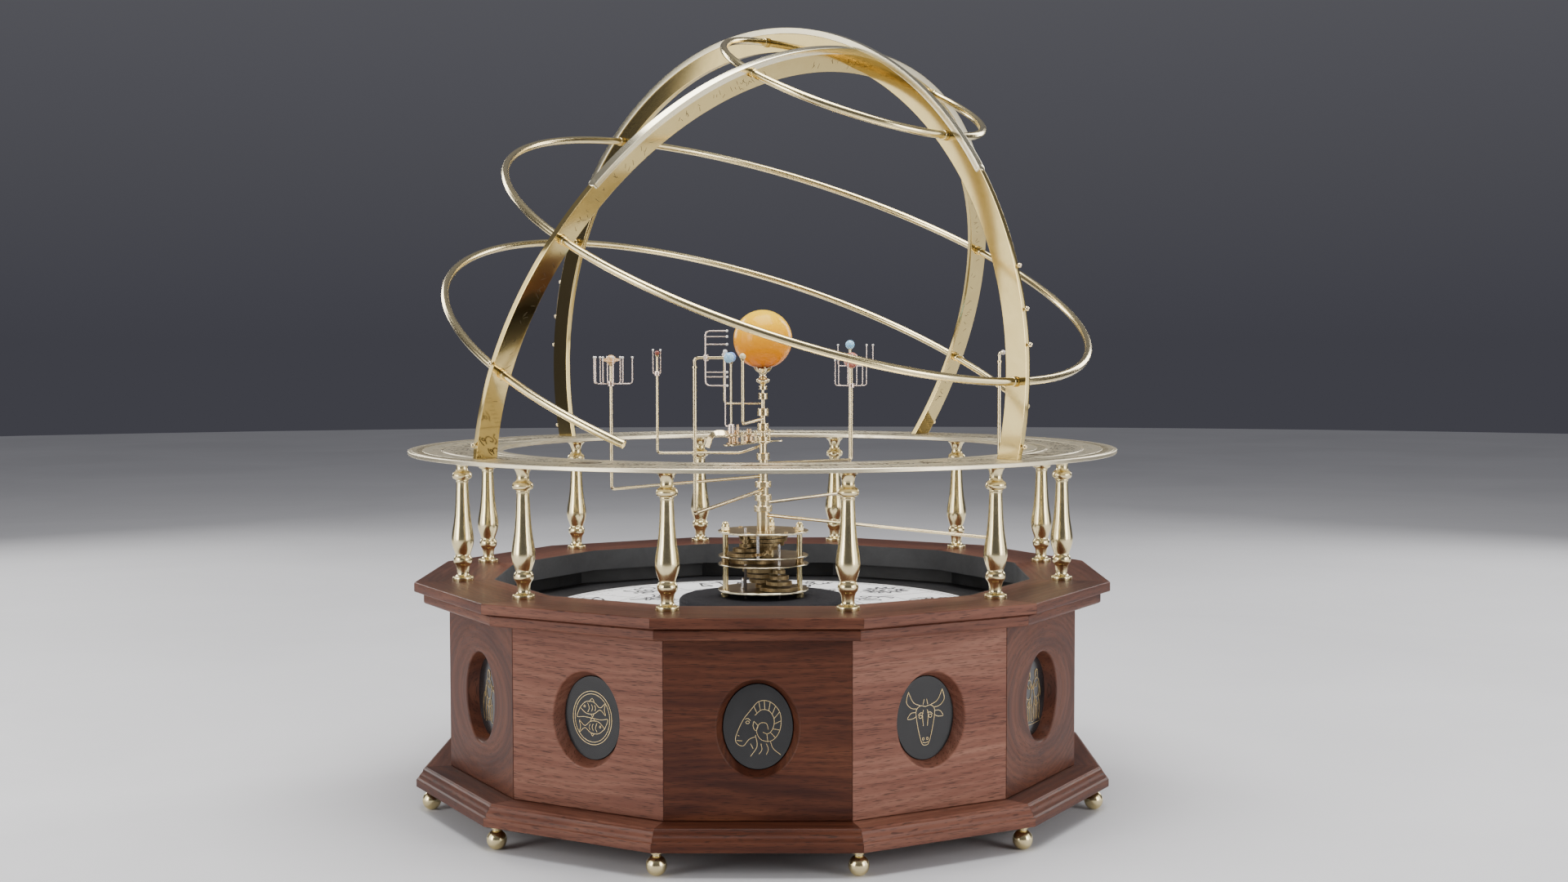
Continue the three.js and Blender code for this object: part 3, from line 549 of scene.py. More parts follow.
# name: rate, arm height, drop, collar (bottom, top, radius), reach, azimuth, ball (height, radius), wire
PLANETS = {
    "mercury": (4.1521, 423.3, 0, (427.9, 434.6, 5), 42, -88, (476, 2.6), 0.9),
    "venus": (1.6255, 406.5, 3, (409.9, 418, 6.2), 64, -18.5, (475, 3.4), 1.6),
    "earth": (1, 391, 0, (393.9, 401.9, 6.2), 84, -22.5, (474.3, 5.4), 1),
    "mars": (0.5317, 376.5, 7, (379.7, 387.4, 6.2), 115, -90, (478.3, 2.6), 1.4),
    "jupiter": (0.0843, 358, 3, (361.9, 369.4, 7.2), 148.5, 138, (469, 9), 1.7),
    "saturn": (0.0339, 344, 5, (347, 354, 8), 193.5, -52.8, (472, 5.2), 1.6),
    "uranus": (0.0119, 328.9, 6, (332, 338.7, 8.9), 228, -16, (475, 5.1), 1.8),
    "neptune": (0.00607, 314.5, 6, (317.3, 324.4, 9.2), 255, 156.6, (486.5, 5.5), 1.8),
    "pluto": (0.00403, 301.5, 14, (305.6, 312.2, 10), 272, 64, (479, 2.6), 1.8),
}
NAMES = list(PLANETS)
URANUS_OUT = 35


# ------------------------------------------------------------------ zodiac line art, in a unit box
def oval(x, y, rx, ry=None, start=0, turn=1.0, count=18):
    ry = rx if ry is None else ry
    return [(x + rx * math.cos(start + TAU * turn * k / count),
             y + ry * math.sin(start + TAU * turn * k / count)) for k in range(count + 1)]


def mirrored(strokes):
    return strokes + [[(-x, y) for x, y in s] for s in strokes]


def moved(strokes, dx, dy, scale=1.0, flip=1):
    return [[(dx + flip * scale * x, dy + scale * y) for x, y in s] for s in strokes]


def person(x=0.0, flip=1, scale=1.0):
    strokes = [
        oval(0, 0.82, 0.13, 0.17), [(-0.14, 0.95), (0, 1.03), (0.14, 0.95), (0.17, 0.78)],
        [(-0.06, 0.66), (-0.26, 0.55), (-0.32, 0.2), (-0.22, -0.05)],
        [(0.06, 0.66), (0.26, 0.55), (0.3, 0.2), (0.2, -0.05)],
        [(0.26, 0.52), (0.5, 0.25), (0.62, 0.32)], [(-0.26, 0.5), (-0.45, 0.12), (-0.4, -0.12)],
        [(-0.22, -0.05), (-0.36, -0.5), (-0.3, -0.98), (-0.42, -1.05)],
        [(0.2, -0.05), (0.34, -0.5), (0.3, -0.98), (0.44, -1.05)],
        [(-0.02, -0.2), (-0.08, -0.6), (-0.06, -1.0)], [(0.06, -0.15), (0.12, -0.6), (0.1, -1.0)],
        [(-0.22, -0.05), (0, -0.12), (0.2, -0.05)], [(-0.12, 0.5), (0.04, 0.3), (0.16, 0.5)],
        [(-0.2, -0.35), (0.02, -0.45), (0.26, -0.35)],
    ]
    return moved(strokes, x, 0, scale, flip)


def fish(x, y, scale, flip):
    strokes = [
        [(-0.8, 0), (-0.4, 0.3), (0.1, 0.3), (0.5, 0.06), (0.85, 0.3), (0.78, 0), (0.85, -0.28), (0.5, -0.04),
         (0.1, -0.26), (-0.4, -0.26), (-0.8, 0)],
        oval(-0.5, 0.07, 0.05), [(-0.3, 0.24), (-0.2, 0.0), (-0.3, -0.2)],
        [(-0.2, 0.3), (0.0, 0.48), (0.15, 0.27)],
        [(-0.05, 0.18), (0.02, 0.02), (-0.05, -0.14)], [(0.15, 0.16), (0.22, 0.0), (0.15, -0.12)],
        [(-0.1, -0.26), (0.0, -0.4), (0.12, -0.24)],
    ]
    return moved(strokes, x, y, scale, flip)


HORN_OUT = [(-0.3, 0.6), (0.05, 0.93), (0.52, 0.9), (0.9, 0.5), (0.9, -0.1), (0.58, -0.5), (0.14, -0.48),
            (-0.06, -0.16), (0.08, 0.12), (0.34, 0.12), (0.42, -0.1)]
HORN_IN = [(-0.12, 0.42), (0.16, 0.62), (0.48, 0.56), (0.66, 0.26), (0.6, -0.08), (0.4, -0.26), (0.2, -0.2)]
SIGNS = {
    0: [HORN_OUT, HORN_IN, [(-0.3, 0.6), (-0.62, 0.22), (-0.9, -0.36), (-0.86, -0.6), (-0.6, -0.7),
                            (-0.36, -0.46), (-0.08, -0.36)],
        [(-0.1, -0.3), (-0.04, -0.72), (-0.3, -1.08)], [(0.5, -0.52), (0.62, -0.8), (0.92, -1.02)],
        oval(-0.42, 0.16, 0.07, 0.05), [(-0.52, 0.28), (-0.4, 0.3), (-0.3, 0.22)],
        [(-0.86, -0.5), (-0.64, -0.52)],
        [(-0.16, 0.2), (0.0, 0.02), (-0.1, -0.14), (-0.2, 0.02), (-0.16, 0.2)],
        [(-0.82, -0.3), (-0.76, -0.34)],
        [(0.12, -0.62), (0.16, -0.84), (0.04, -1.0)], [(0.34, -0.62), (0.42, -0.82), (0.34, -1.02)],
        [(-0.16, 0.74), (-0.04, 0.5)], [(0.04, 0.91), (0.1, 0.6)], [(0.26, 0.96), (0.28, 0.64)],
        [(0.5, 0.9), (0.44, 0.58)], [(0.72, 0.76), (0.58, 0.46)], [(0.88, 0.54), (0.66, 0.3)],
        [(0.95, 0.22), (0.66, 0.1)], [(0.88, -0.12), (0.6, -0.08)], [(0.7, -0.4), (0.5, -0.2)],
        [(0.4, -0.56), (0.36, -0.26)], [(-0.3, -0.62), (-0.2, -0.8)]],
    30: mirrored([[(0, 0.42), (0.26, 0.46), (0.46, 0.28), (0.4, -0.2), (0.26, -0.72), (0.14, -0.98),
                   (0, -1.02)],
                  [(0.4, 0.36), (0.72, 0.42), (0.94, 0.66), (0.84, 1.02)],
                  [(0.22, 0.46), (0.6, 0.62), (0.84, 1.02)],
                  [(0.46, 0.24), (0.72, 0.22), (0.88, 0.02), (0.6, 0.02), (0.44, 0.1)],
                  oval(0.24, 0.06, 0.08, 0.06),
                  oval(0.1, -0.78, 0.045), [(0.1, 0.3), (0.14, 0.1), (0.1, -0.3)], [(0.06, 0.7), (0.12, 0.5)],
                  [(0.1, 0.18), (0.24, 0.2), (0.36, 0.12)]]) + [[(-0.14, -0.9), (0, -0.93), (0.14, -0.9)]],
    60: person(-0.42, 1, 0.98) + person(0.42, -1, 0.98) + [[(-0.95, -1.08), (0, -1.12), (0.95, -1.08)]],
    90: mirrored([[(0, 0.4), (0.4, 0.36), (0.6, 0), (0.4, -0.4), (0, -0.52)],
                  [(0.36, 0.36), (0.66, 0.5), (0.74, 0.8), (0.5, 1.02)],
                  [(0.5, 1.02), (0.34, 0.8), (0.6, 0.76)],
                  [(0.56, 0.14), (0.86, 0.26), (0.98, 0.06)], [(0.58, -0.08), (0.9, -0.06), (1.0, -0.34)],
                  [(0.5, -0.28), (0.78, -0.42), (0.84, -0.74)], [(0.34, -0.44), (0.54, -0.64), (0.5, -0.96)],
                  oval(0.14, 0.5, 0.06), [(0.1, 0.24), (0.3, 0.1), (0.3, -0.2)]]),
    120: mirrored([oval(0, 0, 0.48, 0.56, -math.pi / 2, 0.5, 10), oval(0.18, 0.12, 0.07, 0.05),
                   [(0.0, -0.12), (0.12, -0.16), (0.06, -0.24), (0, -0.26), (0.12, -0.36), (0.24, -0.3)],
                   [(0.1, 0.56), (0.24, 0.94), (0.34, 0.5), (0.6, 0.84), (0.5, 0.36), (0.86, 0.5),
                    (0.58, 0.1),
                    (0.98, 0.0), (0.58, -0.2), (0.84, -0.5), (0.48, -0.44), (0.54, -0.86), (0.24, -0.62),
                    (0.1, -1.0), (0, -0.7)]]),
    150: person(-0.15, 1, 1.0) + [[(0.46, 0.3), (0.6, 0.7), (0.56, 1.02)], [(0.6, 0.7), (0.74, 0.96)],
                                  [(0.54, 0.52), (0.72, 0.72)], [(0.52, 0.52), (0.4, 0.76)]],
    180: mirrored([[(0, 0.74), (0.44, 0.7), (0.8, 0.82)], [(0.8, 0.8), (0.58, -0.1)],
                   [(0.8, 0.8), (0.98, -0.1)],
                   [(0.54, -0.1), (1.0, -0.1), (0.9, -0.3), (0.64, -0.3), (0.54, -0.1)],
                   [(0, -0.8), (0.24, -0.86), (0.4, -1.04)]])
         + [[(0, 0.98), (0, -0.8)], oval(0, 1.0, 0.08), [(-0.4, -1.04), (0.4, -1.04)]],
    210: [oval(-0.3, -0.3, 0.3, 0.4),
          [(-0.1, 0.02), (0.2, 0.2), (0.5, 0.16), (0.76, 0.36), (0.74, 0.7), (0.46, 0.86), (0.22, 0.7),
           (0.34, 0.56)],
          [(-0.5, 0.0), (-0.8, 0.3), (-0.7, 0.6), (-0.5, 0.42)],
          [(-0.14, 0.04), (-0.2, 0.44), (-0.04, 0.66), (0.06, 0.44)],
          [(-0.58, -0.3), (-0.9, -0.2), (-1, -0.5)],
          [(-0.54, -0.5), (-0.8, -0.6), (-0.8, -0.9)], [(0.0, -0.3), (0.3, -0.2), (0.42, -0.5)],
          [(-0.06, -0.5), (0.2, -0.6), (0.2, -0.9)], [(-0.56, -0.2), (-0.04, -0.2)],
          [(-0.56, -0.42), (-0.04, -0.42)]],
    240: person(-0.3, 1, 0.9) + [[(0.16, 0.95), (0.6, 0.7), (0.74, 0.3), (0.6, -0.1), (0.16, -0.35)],
                                 [(0.16, 0.95), (0.05, 0.3), (0.16, -0.35)], [(-0.2, 0.3), (1.0, 0.3)],
                                 [(0.86, 0.4), (1.0, 0.3), (0.86, 0.2)]],
    270: [[(-0.3, 0.5), (-0.62, 0.24), (-0.8, -0.06), (-0.6, -0.2), (-0.36, -0.04), (-0.1, -0.3), (0.0, -0.7),
           (0.4, -0.86), (0.74, -0.6), (0.7, -0.24), (0.94, 0.0), (0.6, 0.06), (0.52, -0.26), (0.44, -0.5),
           (0.26, -0.48), (0.2, 0.0), (0.0, 0.4), (-0.3, 0.5)], oval(-0.44, 0.2, 0.05),
          [(-0.26, 0.5), (-0.1, 0.9), (0.3, 1.04), (0.5, 0.8)],
          [(-0.12, 0.48), (0.04, 0.76), (0.3, 0.84), (0.5, 0.8)],
          [(-0.1, -0.3), (-0.36, -0.56), (-0.3, -0.84)], [(0.06, -0.1), (0.14, -0.3)],
          [(0.16, -0.4), (0.3, -0.62)]],
    300: person(-0.1, 1, 1.0) + [[(0.4, 0.42), (0.72, 0.56), (0.94, 0.34), (0.7, 0.12), (0.44, 0.24),
                                  (0.4, 0.42)],
                                 [(0.84, 0.2), (0.78, -0.3), (0.9, -0.7), (0.74, -1.05)],
                                 [(0.74, 0.12), (0.64, -0.3), (0.74, -0.7), (0.58, -1.05)],
                                 [(-0.62, 0.1), (-0.8, -0.4), (-0.66, -1.0)]],
    330: [oval(0, 0, 0.98, 1.0, count=30), oval(0, 0, 0.88, 0.9, count=30)] + fish(0, 0.36, 0.78, 1)
         + fish(0, -0.36, 0.78, -1)
         + [[(-0.62, 0.36), (-0.78, 0.0), (-0.4, 0.02), (0.4, -0.04), (0.78, 0), (0.62, -0.36)]],
}
DIGITS = {
    "0": [oval(0, 0, 0.4, 0.8, count=12)], "1": [[(-0.2, 0.5), (0, 0.8), (0, -0.8)]],
    "2": [[(-0.4, 0.5), (0, 0.8), (0.4, 0.45), (0, -0.2), (-0.4, -0.8)], [(-0.4, -0.8), (0.42, -0.8)]],
    "3": [[(-0.4, 0.6), (0.1, 0.8), (0.36, 0.4), (0, 0.05), (0.4, -0.4), (0, -0.8), (-0.4, -0.6)]],
}


def strokes_on(shape, strokes, spot, up, half, rise, steps=4):
    """Draws strokes as thin raised lines; spot turns an art point into a place."""
    section = [(-half, -0.12), (half, -0.12), (half * 0.7, rise), (-half * 0.7, rise)]
    for stroke in strokes:
        path = [spot(x, y) for x, y in stroke]
        shape.add(sweep(spline(path, steps), section, up=up))


# ------------------------------------------------------------------ cabinet
def facet_point(azimuth, u, radius, z):
    return at(radius, azimuth, z) + tangent(azimuth) * u


def mitred_board(azimuth, outline, gap=0.1):
    """One facet's length of a moulding: outline is (corner radius, height) points."""
    return grid([[facet_point(azimuth, end * (r * FLAT * HALF_TURN - gap), r * FLAT, z) for r, z in outline]
                 for end in (-1, 1)])


def panel_board(azimuth):
    """A mitred board with an oval recess whose edge is rounded and whose wall tapers inwards."""
    low, high, per_side = 45.3, 216.7, 28
    edge = []
    corners = [(-1, -1), (1, -1), (1, 1), (-1, 1)]
    for (x0, y0), (x1, y1) in zip(corners, corners[1:] + corners[:1]):
        edge += [(x0 + (x1 - x0) * k / per_side, y0 + (y1 - y0) * k / per_side) for k in range(per_side)]

    def straight(depth, inset=0.0):
        radius = PANEL_FACE - depth
        half = radius * HALF_TURN - 0.12 - inset
        middle, tall = (low + high) / 2, (high - low) / 2 - inset
        return [facet_point(azimuth, x * half, radius, middle + y * tall) for x, y in edge]

    def hole(wide, tall, depth):
        out = []
        for x, y in edge:
            a = math.atan2(y * 85.7, x * 87.9)
            out.append(facet_point(azimuth, wide * math.cos(a), PANEL_FACE - depth,
                                   RECESS_Z + tall * math.sin(a)))
        return out
    return grid([straight(19), straight(0.5), straight(0, 0.5), straight(0, 1), hole(41, 48.4, 0),
                 hole(40.2, 47.6, 0), hole(39.3, 46.7, 0.15), hole(38.6, 46.0, 0.6), hole(38.2, 45.6, 1.4),
                 hole(37.6, 45.0, 3), hole(33.2, 40.8, 12.4)])


panels, floor_boards = Shape(), Shape()
plinth, rail, medallions, art = Shape(), Shape(), Shape(), Shape()
PLINTH = [(322, 24.2), (374.8, 24.2), (375.8, 25), (375.8, 32.4), (375, 33), (373.2, 33.3), (372.6, 34),
          (372.8, 35.2), (372.4, 36.6), (371.2, 38), (369.8, 39.4), (369, 41), (368.8, 42.4), (368.4, 43),
          (367, 43.2), (366.4, 43.8), (366, 44.6), (365.2, 45), (322, 45)]
RAIL = [(293, 217.2), (360, 217.2), (364.4, 217.6), (365.8, 218.8), (366, 220.4), (366, 226.6),
        (365.6, 227.4),
        (364.4, 227.9), (364.2, 229.4), (365.4, 229.9), (374.6, 230), (375.6, 230.5), (375.9, 231.4),
        (375.9, 239), (375.5, 240), (374.6, 240.4), (293, 240.4)]
# painted light and shade: each facet's tone is set for how the light falls on it. It is lighter, with sheen,
# at 30 and 330 degrees, and darker at the front and at 60 and 300 degrees. Plinth and rail boards follow
# their facet's tone.
PAINTED_FACET_LIGHT = {0: 0.04, 30: 0.72, 330: 0.56, 60: 0.1, 300: 0.06}
for k, azimuth in enumerate(FACETS):
    tone_and_light = PAINTED_FACET_LIGHT.get(azimuth, 0.25)
    figure = arched_wood if azimuth in (60, 300, 180) else wood
    panels.add(panel_board(azimuth), grain=figure(azimuth, k + 1.3), tone_and_light=tone_and_light)
    plinth.add(mitred_board(azimuth, PLINTH), grain=wood(azimuth, k + 21.7), tone_and_light=0.6 * tone_and_light)
    rail.add(mitred_board(azimuth, RAIL), grain=wood(azimuth, k + 43.1, 1.0), tone_and_light=0.12 + 0.5 * tone_and_light)
    disc = [[(wide * math.cos(TAU * j / 72), tall * math.sin(TAU * j / 72), depth) for j in range(72)]
            for wide, tall, depth in ((33.0, 40.6, 12.3), (33.2, 40.8, 11.6), (32.4, 40.0, 10.9),
                                      (26, 33, 10.7))]
    medallions.add(grid([[facet_point(azimuth, u, PANEL_FACE - d, RECESS_Z + v) for u, v, d in row]
                         for row in disc]))
    strokes_on(art, SIGNS[azimuth],
               lambda x, y: facet_point(azimuth, x * MEDALLION_SCALE, MEDALLION_FACE,
                                        RECESS_Z + y * MEDALLION_SCALE * MEDALLION_TALL),
               at(1, azimuth), 0.27, 0.35)
panels.make("panels", WALNUT, "cabinet", "walnut", ["panel_drum"], crease=50)
plinth.make("plinth", WALNUT, "cabinet", "walnut", ["base_moulding"], crease=60)
rail.make("rail", WALNUT, "cabinet", "walnut", ["top_rail"], crease=60)
medallions.make("medallions", SLATE, "cabinet", "black_paint")
art.make("medallion_art", GOLD, "cabinet", "polished_brass", crease=30)

board = lathe(soften([(0, 24), (321, 24), (321, 36), (0, 36)], 0.8, 2), 12, start=15)
floor_boards.add(board, grain=wood(0, 5.5, 0.1), tone_and_light=0.3)
floor_boards.make("floor_board", WALNUT, "cabinet", "walnut", ["base_board"])

feet = Shape()
BALL = [(9.8 * math.cos(math.radians(a)), 9.8 + 9.8 * math.sin(math.radians(a))) for a in range(-72, 67, 6)]
FOOT = [(0, BALL[0][1]), *BALL, (3.9, 19.2), (4.2, 20.2), (5.6, 20.9), (5.8, 21.6), (5.6, 24.1), (0, 24.1)]
for azimuth in CORNERS:
    feet.add(lathe([(r, z - BALL[0][1] * (1 - z / 24.1)) for r, z in FOOT], 40), stand(360, azimuth))
feet.make("feet", TURNED, "cabinet", "polished_brass")

liner = Shape().add(tube_form(291.6, 292.8, 217, 240.3, 12, 15))
liner.make("well_liner", LINER, "cabinet", "black_paint")
disc = Shape().add(lathe([(0, 199.3), (237.6, 199.3), (238, 199.7), (238, 200.7), (237.7, 201), (0, 201)],
                         144))
disc.make("chart", CHART, "cabinet", "chart", ["star_chart_disc"])
cushion = soften([(0, 213), (89, 213), (92, 210), (92, 201.3), (89.8, 201.3), (89.8, 210.8), (0, 210.8)], 1.6,
                 4)
Shape().add(lathe([tuple(p) for p in cushion], 120)).make("pad", FELT, "cabinet", "charcoal", ["centre_pad"])
for name, look in (("well_tray", BLACK), ("drive_unit", STEEL)):
    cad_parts[name].data.materials.clear()
    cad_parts[name].data.materials.append(look)

chart_art = Shape()


def polar_spot(azimuth, radius, scale, z, turn=1):
    """Art stands upright seen from outside, bent to the circle."""
    return lambda x, y: at(radius - turn * y * scale, azimuth + turn * math.degrees(x * scale / radius), z)


for radius, half in ((104, 0.4), (112, 0.25), (168, 0.25), (226, 0.35), (232, 0.5)):
    path = [at(radius, 3 * k, CHART_TOP) for k in range(120)]
    chart_art.add(sweep(path, strip(half, -0.1, 0.1), True, UP))
for k in range(72):
    inner = 226 if k % 6 else 104
    spoke = [at(radius, 5 * k + 2.5, CHART_TOP) for radius in (inner, 232)]
    chart_art.add(sweep(spoke, strip(0.25, -0.1, 0.1), up=UP))
for azimuth, strokes in SIGNS.items():
    strokes_on(chart_art, strokes, polar_spot(azimuth + 15, 197, 27, CHART_TOP, -1), UP, 1.7, 0.12)
    strokes_on(chart_art, SIGNS[(azimuth + 150) % 360], polar_spot(azimuth, 140, 23, CHART_TOP, -1), UP, 1.4,
               0.12)
STARS = 260
STAR = [(0, -1), (0.25, -0.25), (1, 0), (0.25, 0.25), (0, 1), (-0.25, 0.25), (-1, 0), (-0.25, -0.25)]
for _ in range(STARS):
    azimuth, radius, size = rng.uniform(0, 360), rng.uniform(108, 224), rng.uniform(0.5, 1.7)
    rows = [[at(radius, azimuth, h) + Vector((x * size, y * size, 0)) for x, y in STAR] for h in (200.9,
                                                                                                  201.1)]
    chart_art.add(grid(rows))
chart_art.make("chart_lines", INK, "cabinet", "black_paint", crease=20)


# ------------------------------------------------------------------ balusters and zodiac ring
BALUSTER = [(11, 0), (11, 3.6), (9.2, 4.4), (6.6, 6), (6.1, 9), (6.5, 13), (7.4, 16), (9.2, 18.6),
            (9.75, 21.4),
            (9.4, 24), (8, 26.4), (7.9, 28), (8.9, 31), (10.6, 36), (11.6, 41), (11.5, 46), (10.6, 53),
            (9.4, 60),
            (8.4, 68), (7.7, 76), (7.2, 83), (6.8, 91), (6.4, 99), (6.3, 104), (6.9, 105), (7, 106.2),
            (9.4, 107.4),
            (10.2, 109.6), (10.2, 111), (9.2, 113.4), (7, 115), (6.2, 117), (6, 119.6), (6.4, 123),
            (8, 126.4),
            (10.3, 128.6), (10.5, 129.6), (10.5, 131.4)]


def turned_outline(points, steps=3):
    """A smooth outline through most points, with the two ends kept as sharp corners."""
    inner = [tuple(p) for p in spline(points, steps)]
    return [(0, points[0][1]), *inner, (0, points[-1][1])]


for k, azimuth in enumerate(CORNERS):
    form = lathe(turned_outline(BALUSTER), 48)
    name = f"baluster_{k + 1:02d}"
    post = Shape().add(form, stand(325, azimuth, 240.7))
    post.make(f"turned_{name}", TURNED, "cabinet", "polished_brass", [name])

RING = [(283, 372.9), (283.4, 372.5), (379.6, 372.5), (380, 372.9), (380, 376), (379.5, 376.5)]
for groove in (376.5, 365, 345.5, 343.5, 307.5, 305.5, 296):
    RING += [(groove + 0.5, 376.5), (groove + 0.25, 376.15), (groove - 0.25, 376.15), (groove - 0.5, 376.5)]
RING += [(283.4, 376.5), (283, 376.1)]
Shape().add(lathe(RING, 240, True)).make("ring", ENGRAVABLE, "cabinet", "polished_brass", ["zodiac_ring"])

scale = Shape()
TICK = strip(0.32, -0.2, 0.06)
LEAF = [[(-0.7, -1), (0.3, -0.6), (0.6, 0.2), (0, 0.8), (-0.5, 0.4), (-0.2, 0)], oval(0.2, -1.1, 0.25),
        [(-1, 0.6), (-0.4, 1.3), (0.4, 1.2), (0.9, 1.7)], [(-0.9, -1.6), (0, -1.8), (0.8, -1.5)]]
for k in range(720):
    azimuth = 0.5 * k
    outer = 376 if k % 2 == 0 else 371
    inner = 365.5 if k % 10 else 356
    scale.add(sweep([at(inner, azimuth, RING_TOP), at(outer, azimuth, RING_TOP)], TICK, up=UP))
    if k % 2 == 0:
        end = 305.2 if k % 10 else 301
        scale.add(sweep([at(296.6, azimuth, RING_TOP), at(end, azimuth, RING_TOP)], TICK, up=UP))
for azimuth in FACETS:
    bar = [at(284, azimuth + 15, RING_TOP), at(379, azimuth + 15, RING_TOP)]
    scale.add(sweep(bar, strip(0.35, -0.2, 0.06), up=UP))
    strokes_on(scale, SIGNS[azimuth], polar_spot(azimuth, 325.5, 15, RING_TOP, -1), UP, 1.05, 0.07, 3)
    for step, text in ((-10, "10"), (0, "20"), (10, "30")):
        for j, digit in enumerate(text):
            spot = polar_spot(azimuth + step + 0.9 * (j - 0.5), 351, 3.6, RING_TOP, -1)
            strokes_on(scale, DIGITS[digit], spot, UP, 0.45, 0.07, 2)
    for side in (-1, 1):
        for part in range(4):
            turn = azimuth + side * (5.2 + 2.4 * part)
            size = rng.uniform(4, 9)
            spot = polar_spot(turn, 326 + rng.uniform(-3, 3), size, RING_TOP, side)
            strokes_on(scale, LEAF, spot, UP, 0.95, 0.07, 3)
scale.make("ring_engraving", ENGRAVED, "cabinet", "polished_brass", crease=20)


# ------------------------------------------------------------------ dome of bands and tubes
def arch(section, place_in, tilt, start=None, segments=120):
    """A flat band over the dome; its ends stop on the ring, or at the angle start."""
    rows = []
    for k in range(segments + 1):
        row = []
        for radius, w in section:
            if start is None:
                a0 = math.asin((376.8 - SPHERE_Z - w * math.sin(tilt)) / (radius * math.cos(tilt)))
            else:
                a0 = math.radians(start)
            a = a0 + (math.pi - 2 * a0) * k / segments
            row.append(place_in @ Vector((radius * math.cos(a), w, radius * math.sin(a))))
        rows.append(row)
    return grid(rows)


def box_section(inner, outer, thick, corner):
    half = thick / 2
    box = [(inner, -half), (outer, -half), (outer, half), (inner, half)]
    return [tuple(p) for p in soften(box, corner, 2, True)]


def rim_ends(place_in):
    """The round studs that end a rim strip."""
    form = Shape()
    for side in (RIM_START, 180 - RIM_START):
        a = math.radians(side)
        out = Vector((math.cos(a), 0, math.sin(a)))
        form.add(lathe([(0, 358.4), (3.6, 358.4), (3.9, 358.9), (3.9, 364.4), (3.2, 364.8), (0, 364.8)], 24),
                 place_in @ facing((0, 0, 0), out))
    return form


for name, place_in, tilt in (("left", ACROSS, LEAN), ("right", UPRIGHT, 0.0)):
    band = Shape().add(arch(box_section(BAND_IN, BAND_OUT, BAND_THICK, 0.7), place_in, tilt))
    band.make(f"band_{name}", SHADED_BAND, "cabinet", "polished_brass", [f"arch_band_{name}"])
    rim = rim_ends(place_in).add(arch(box_section(358, 364.8, 8, 0.9), place_in, tilt, RIM_START))
    rim.make(f"rim_strip_{name}", RIM, "cabinet", "polished_brass")


def tube_path(declination, start=0.0, end=TAU, segments=180):
    a = math.radians(declination)
    r, z = SPHERE_R * math.cos(a), SPHERE_R * math.sin(a)
    count = segments if end - start > TAU - 1e-6 else segments + 1
    turns = [start + (end - start) * k / segments for k in range(count)]
    return [TILTED @ Vector((r * math.cos(t), r * math.sin(t), z)) for t in turns]


def equator_turn(azimuth):
    turn = math.radians(azimuth - 45)
    return math.atan2(math.sin(turn) * math.cos(LEAN), math.cos(turn))


OPEN_FROM, OPEN_TO = equator_turn(118), equator_turn(-21) + TAU
TUBES = {"tropic_tube": tube_path(TROPIC), "arctic_tube": tube_path(90 - TROPIC),
         "equator_tube": tube_path(0, OPEN_FROM, OPEN_TO, 140)}
for name, path in TUBES.items():
    tube = Shape().add(sweep(path, circle(3.98, 20), name != "equator_tube"))
    tube.make(f"round_{name}", POLISHED, "cabinet", "polished_brass", [name])

collars = Shape()
SLEEVE = [(3.9, -7.4), (4.7, -7.4), (5, -7), (5, -4.6), (4.5, -4.4), (4.5, 4.4), (5, 4.6), (5, 7), (4.7, 7.4),
          (3.9, 7.4)]
for name, path in TUBES.items():
    for plane in (ACROSS, UPRIGHT):
        into = plane.inverted()
        beyond = path[1:] + ([] if name == "equator_tube" else path[:1])
        for p, q in zip(path, beyond):
            a, b = (into @ p).y, (into @ q).y
            if a * b <= 0 and a != b:
                collars.add(lathe(SLEEVE, 28, True), facing(p.lerp(q, a / (a - b)), q - p))
collars.make("tube_collars", POLISHED, "cabinet", "polished_brass")

pins = Shape()
PIN = [(0, -1.5), (1.1, -1.5), (1.1, 1.6), (1.9, 2.1), (2.4, 3.2), (2.3, 4.4), (1.5, 5.4), (0, 5.8)]
for place_in, tilt, heights in ((UPRIGHT, 0.0, (562, 521, 487, 390)), (ACROSS, LEAN, (391, 470))):
    for height in heights:
        a = math.asin((height - SPHERE_Z) / (BAND_OUT * math.cos(tilt)))
        for side in (1, -1):
            out = Vector((side * math.cos(a), 0, math.sin(a)))
            pins.add(lathe(PIN, 20), place_in @ facing(out * (BAND_OUT - 0.4), out))
pins.make("band_pins", PALE, "cabinet", "polished_brass")

marks = Shape()
SCRATCHES = 150
for _ in range(SCRATCHES):
    a = math.radians(rng.uniform(-8, 188))
    r0 = rng.uniform(342, 350)
    r1 = r0 + rng.uniform(2, 6)
    a1 = a + math.radians(rng.uniform(-0.7, 0.7))
    for w in (-3, 3):
        p, q = (ACROSS @ Vector((r * math.cos(t), w, r * math.sin(t))) for r, t in ((r0, a), (r1, a1)))
        out = ACROSS.to_3x3() @ Vector((0, w, 0))
        marks.add(sweep([p, q], strip(0.22, -0.2, 0.05), up=out))
marks.make("band_engraving", ENGRAVED, "cabinet", "polished_brass")


# ------------------------------------------------------------------ mechanism
def wheel_z(index):
    return 222.4 + 6.0 * index if index < 4 else 259.6 + 4.6 * (index - 4)


def pitch_radii(index):
    on_sleeve = SHAFT_CIRCLE / (1 + PLANETS[NAMES[index]][0] / (FAST_RATE if index < 4 else SLOW_RATE))
    return on_sleeve, SHAFT_CIRCLE - on_sleeve


def sleeve_outer(index):
    return 1.5 + 0.6 * (index + 1)


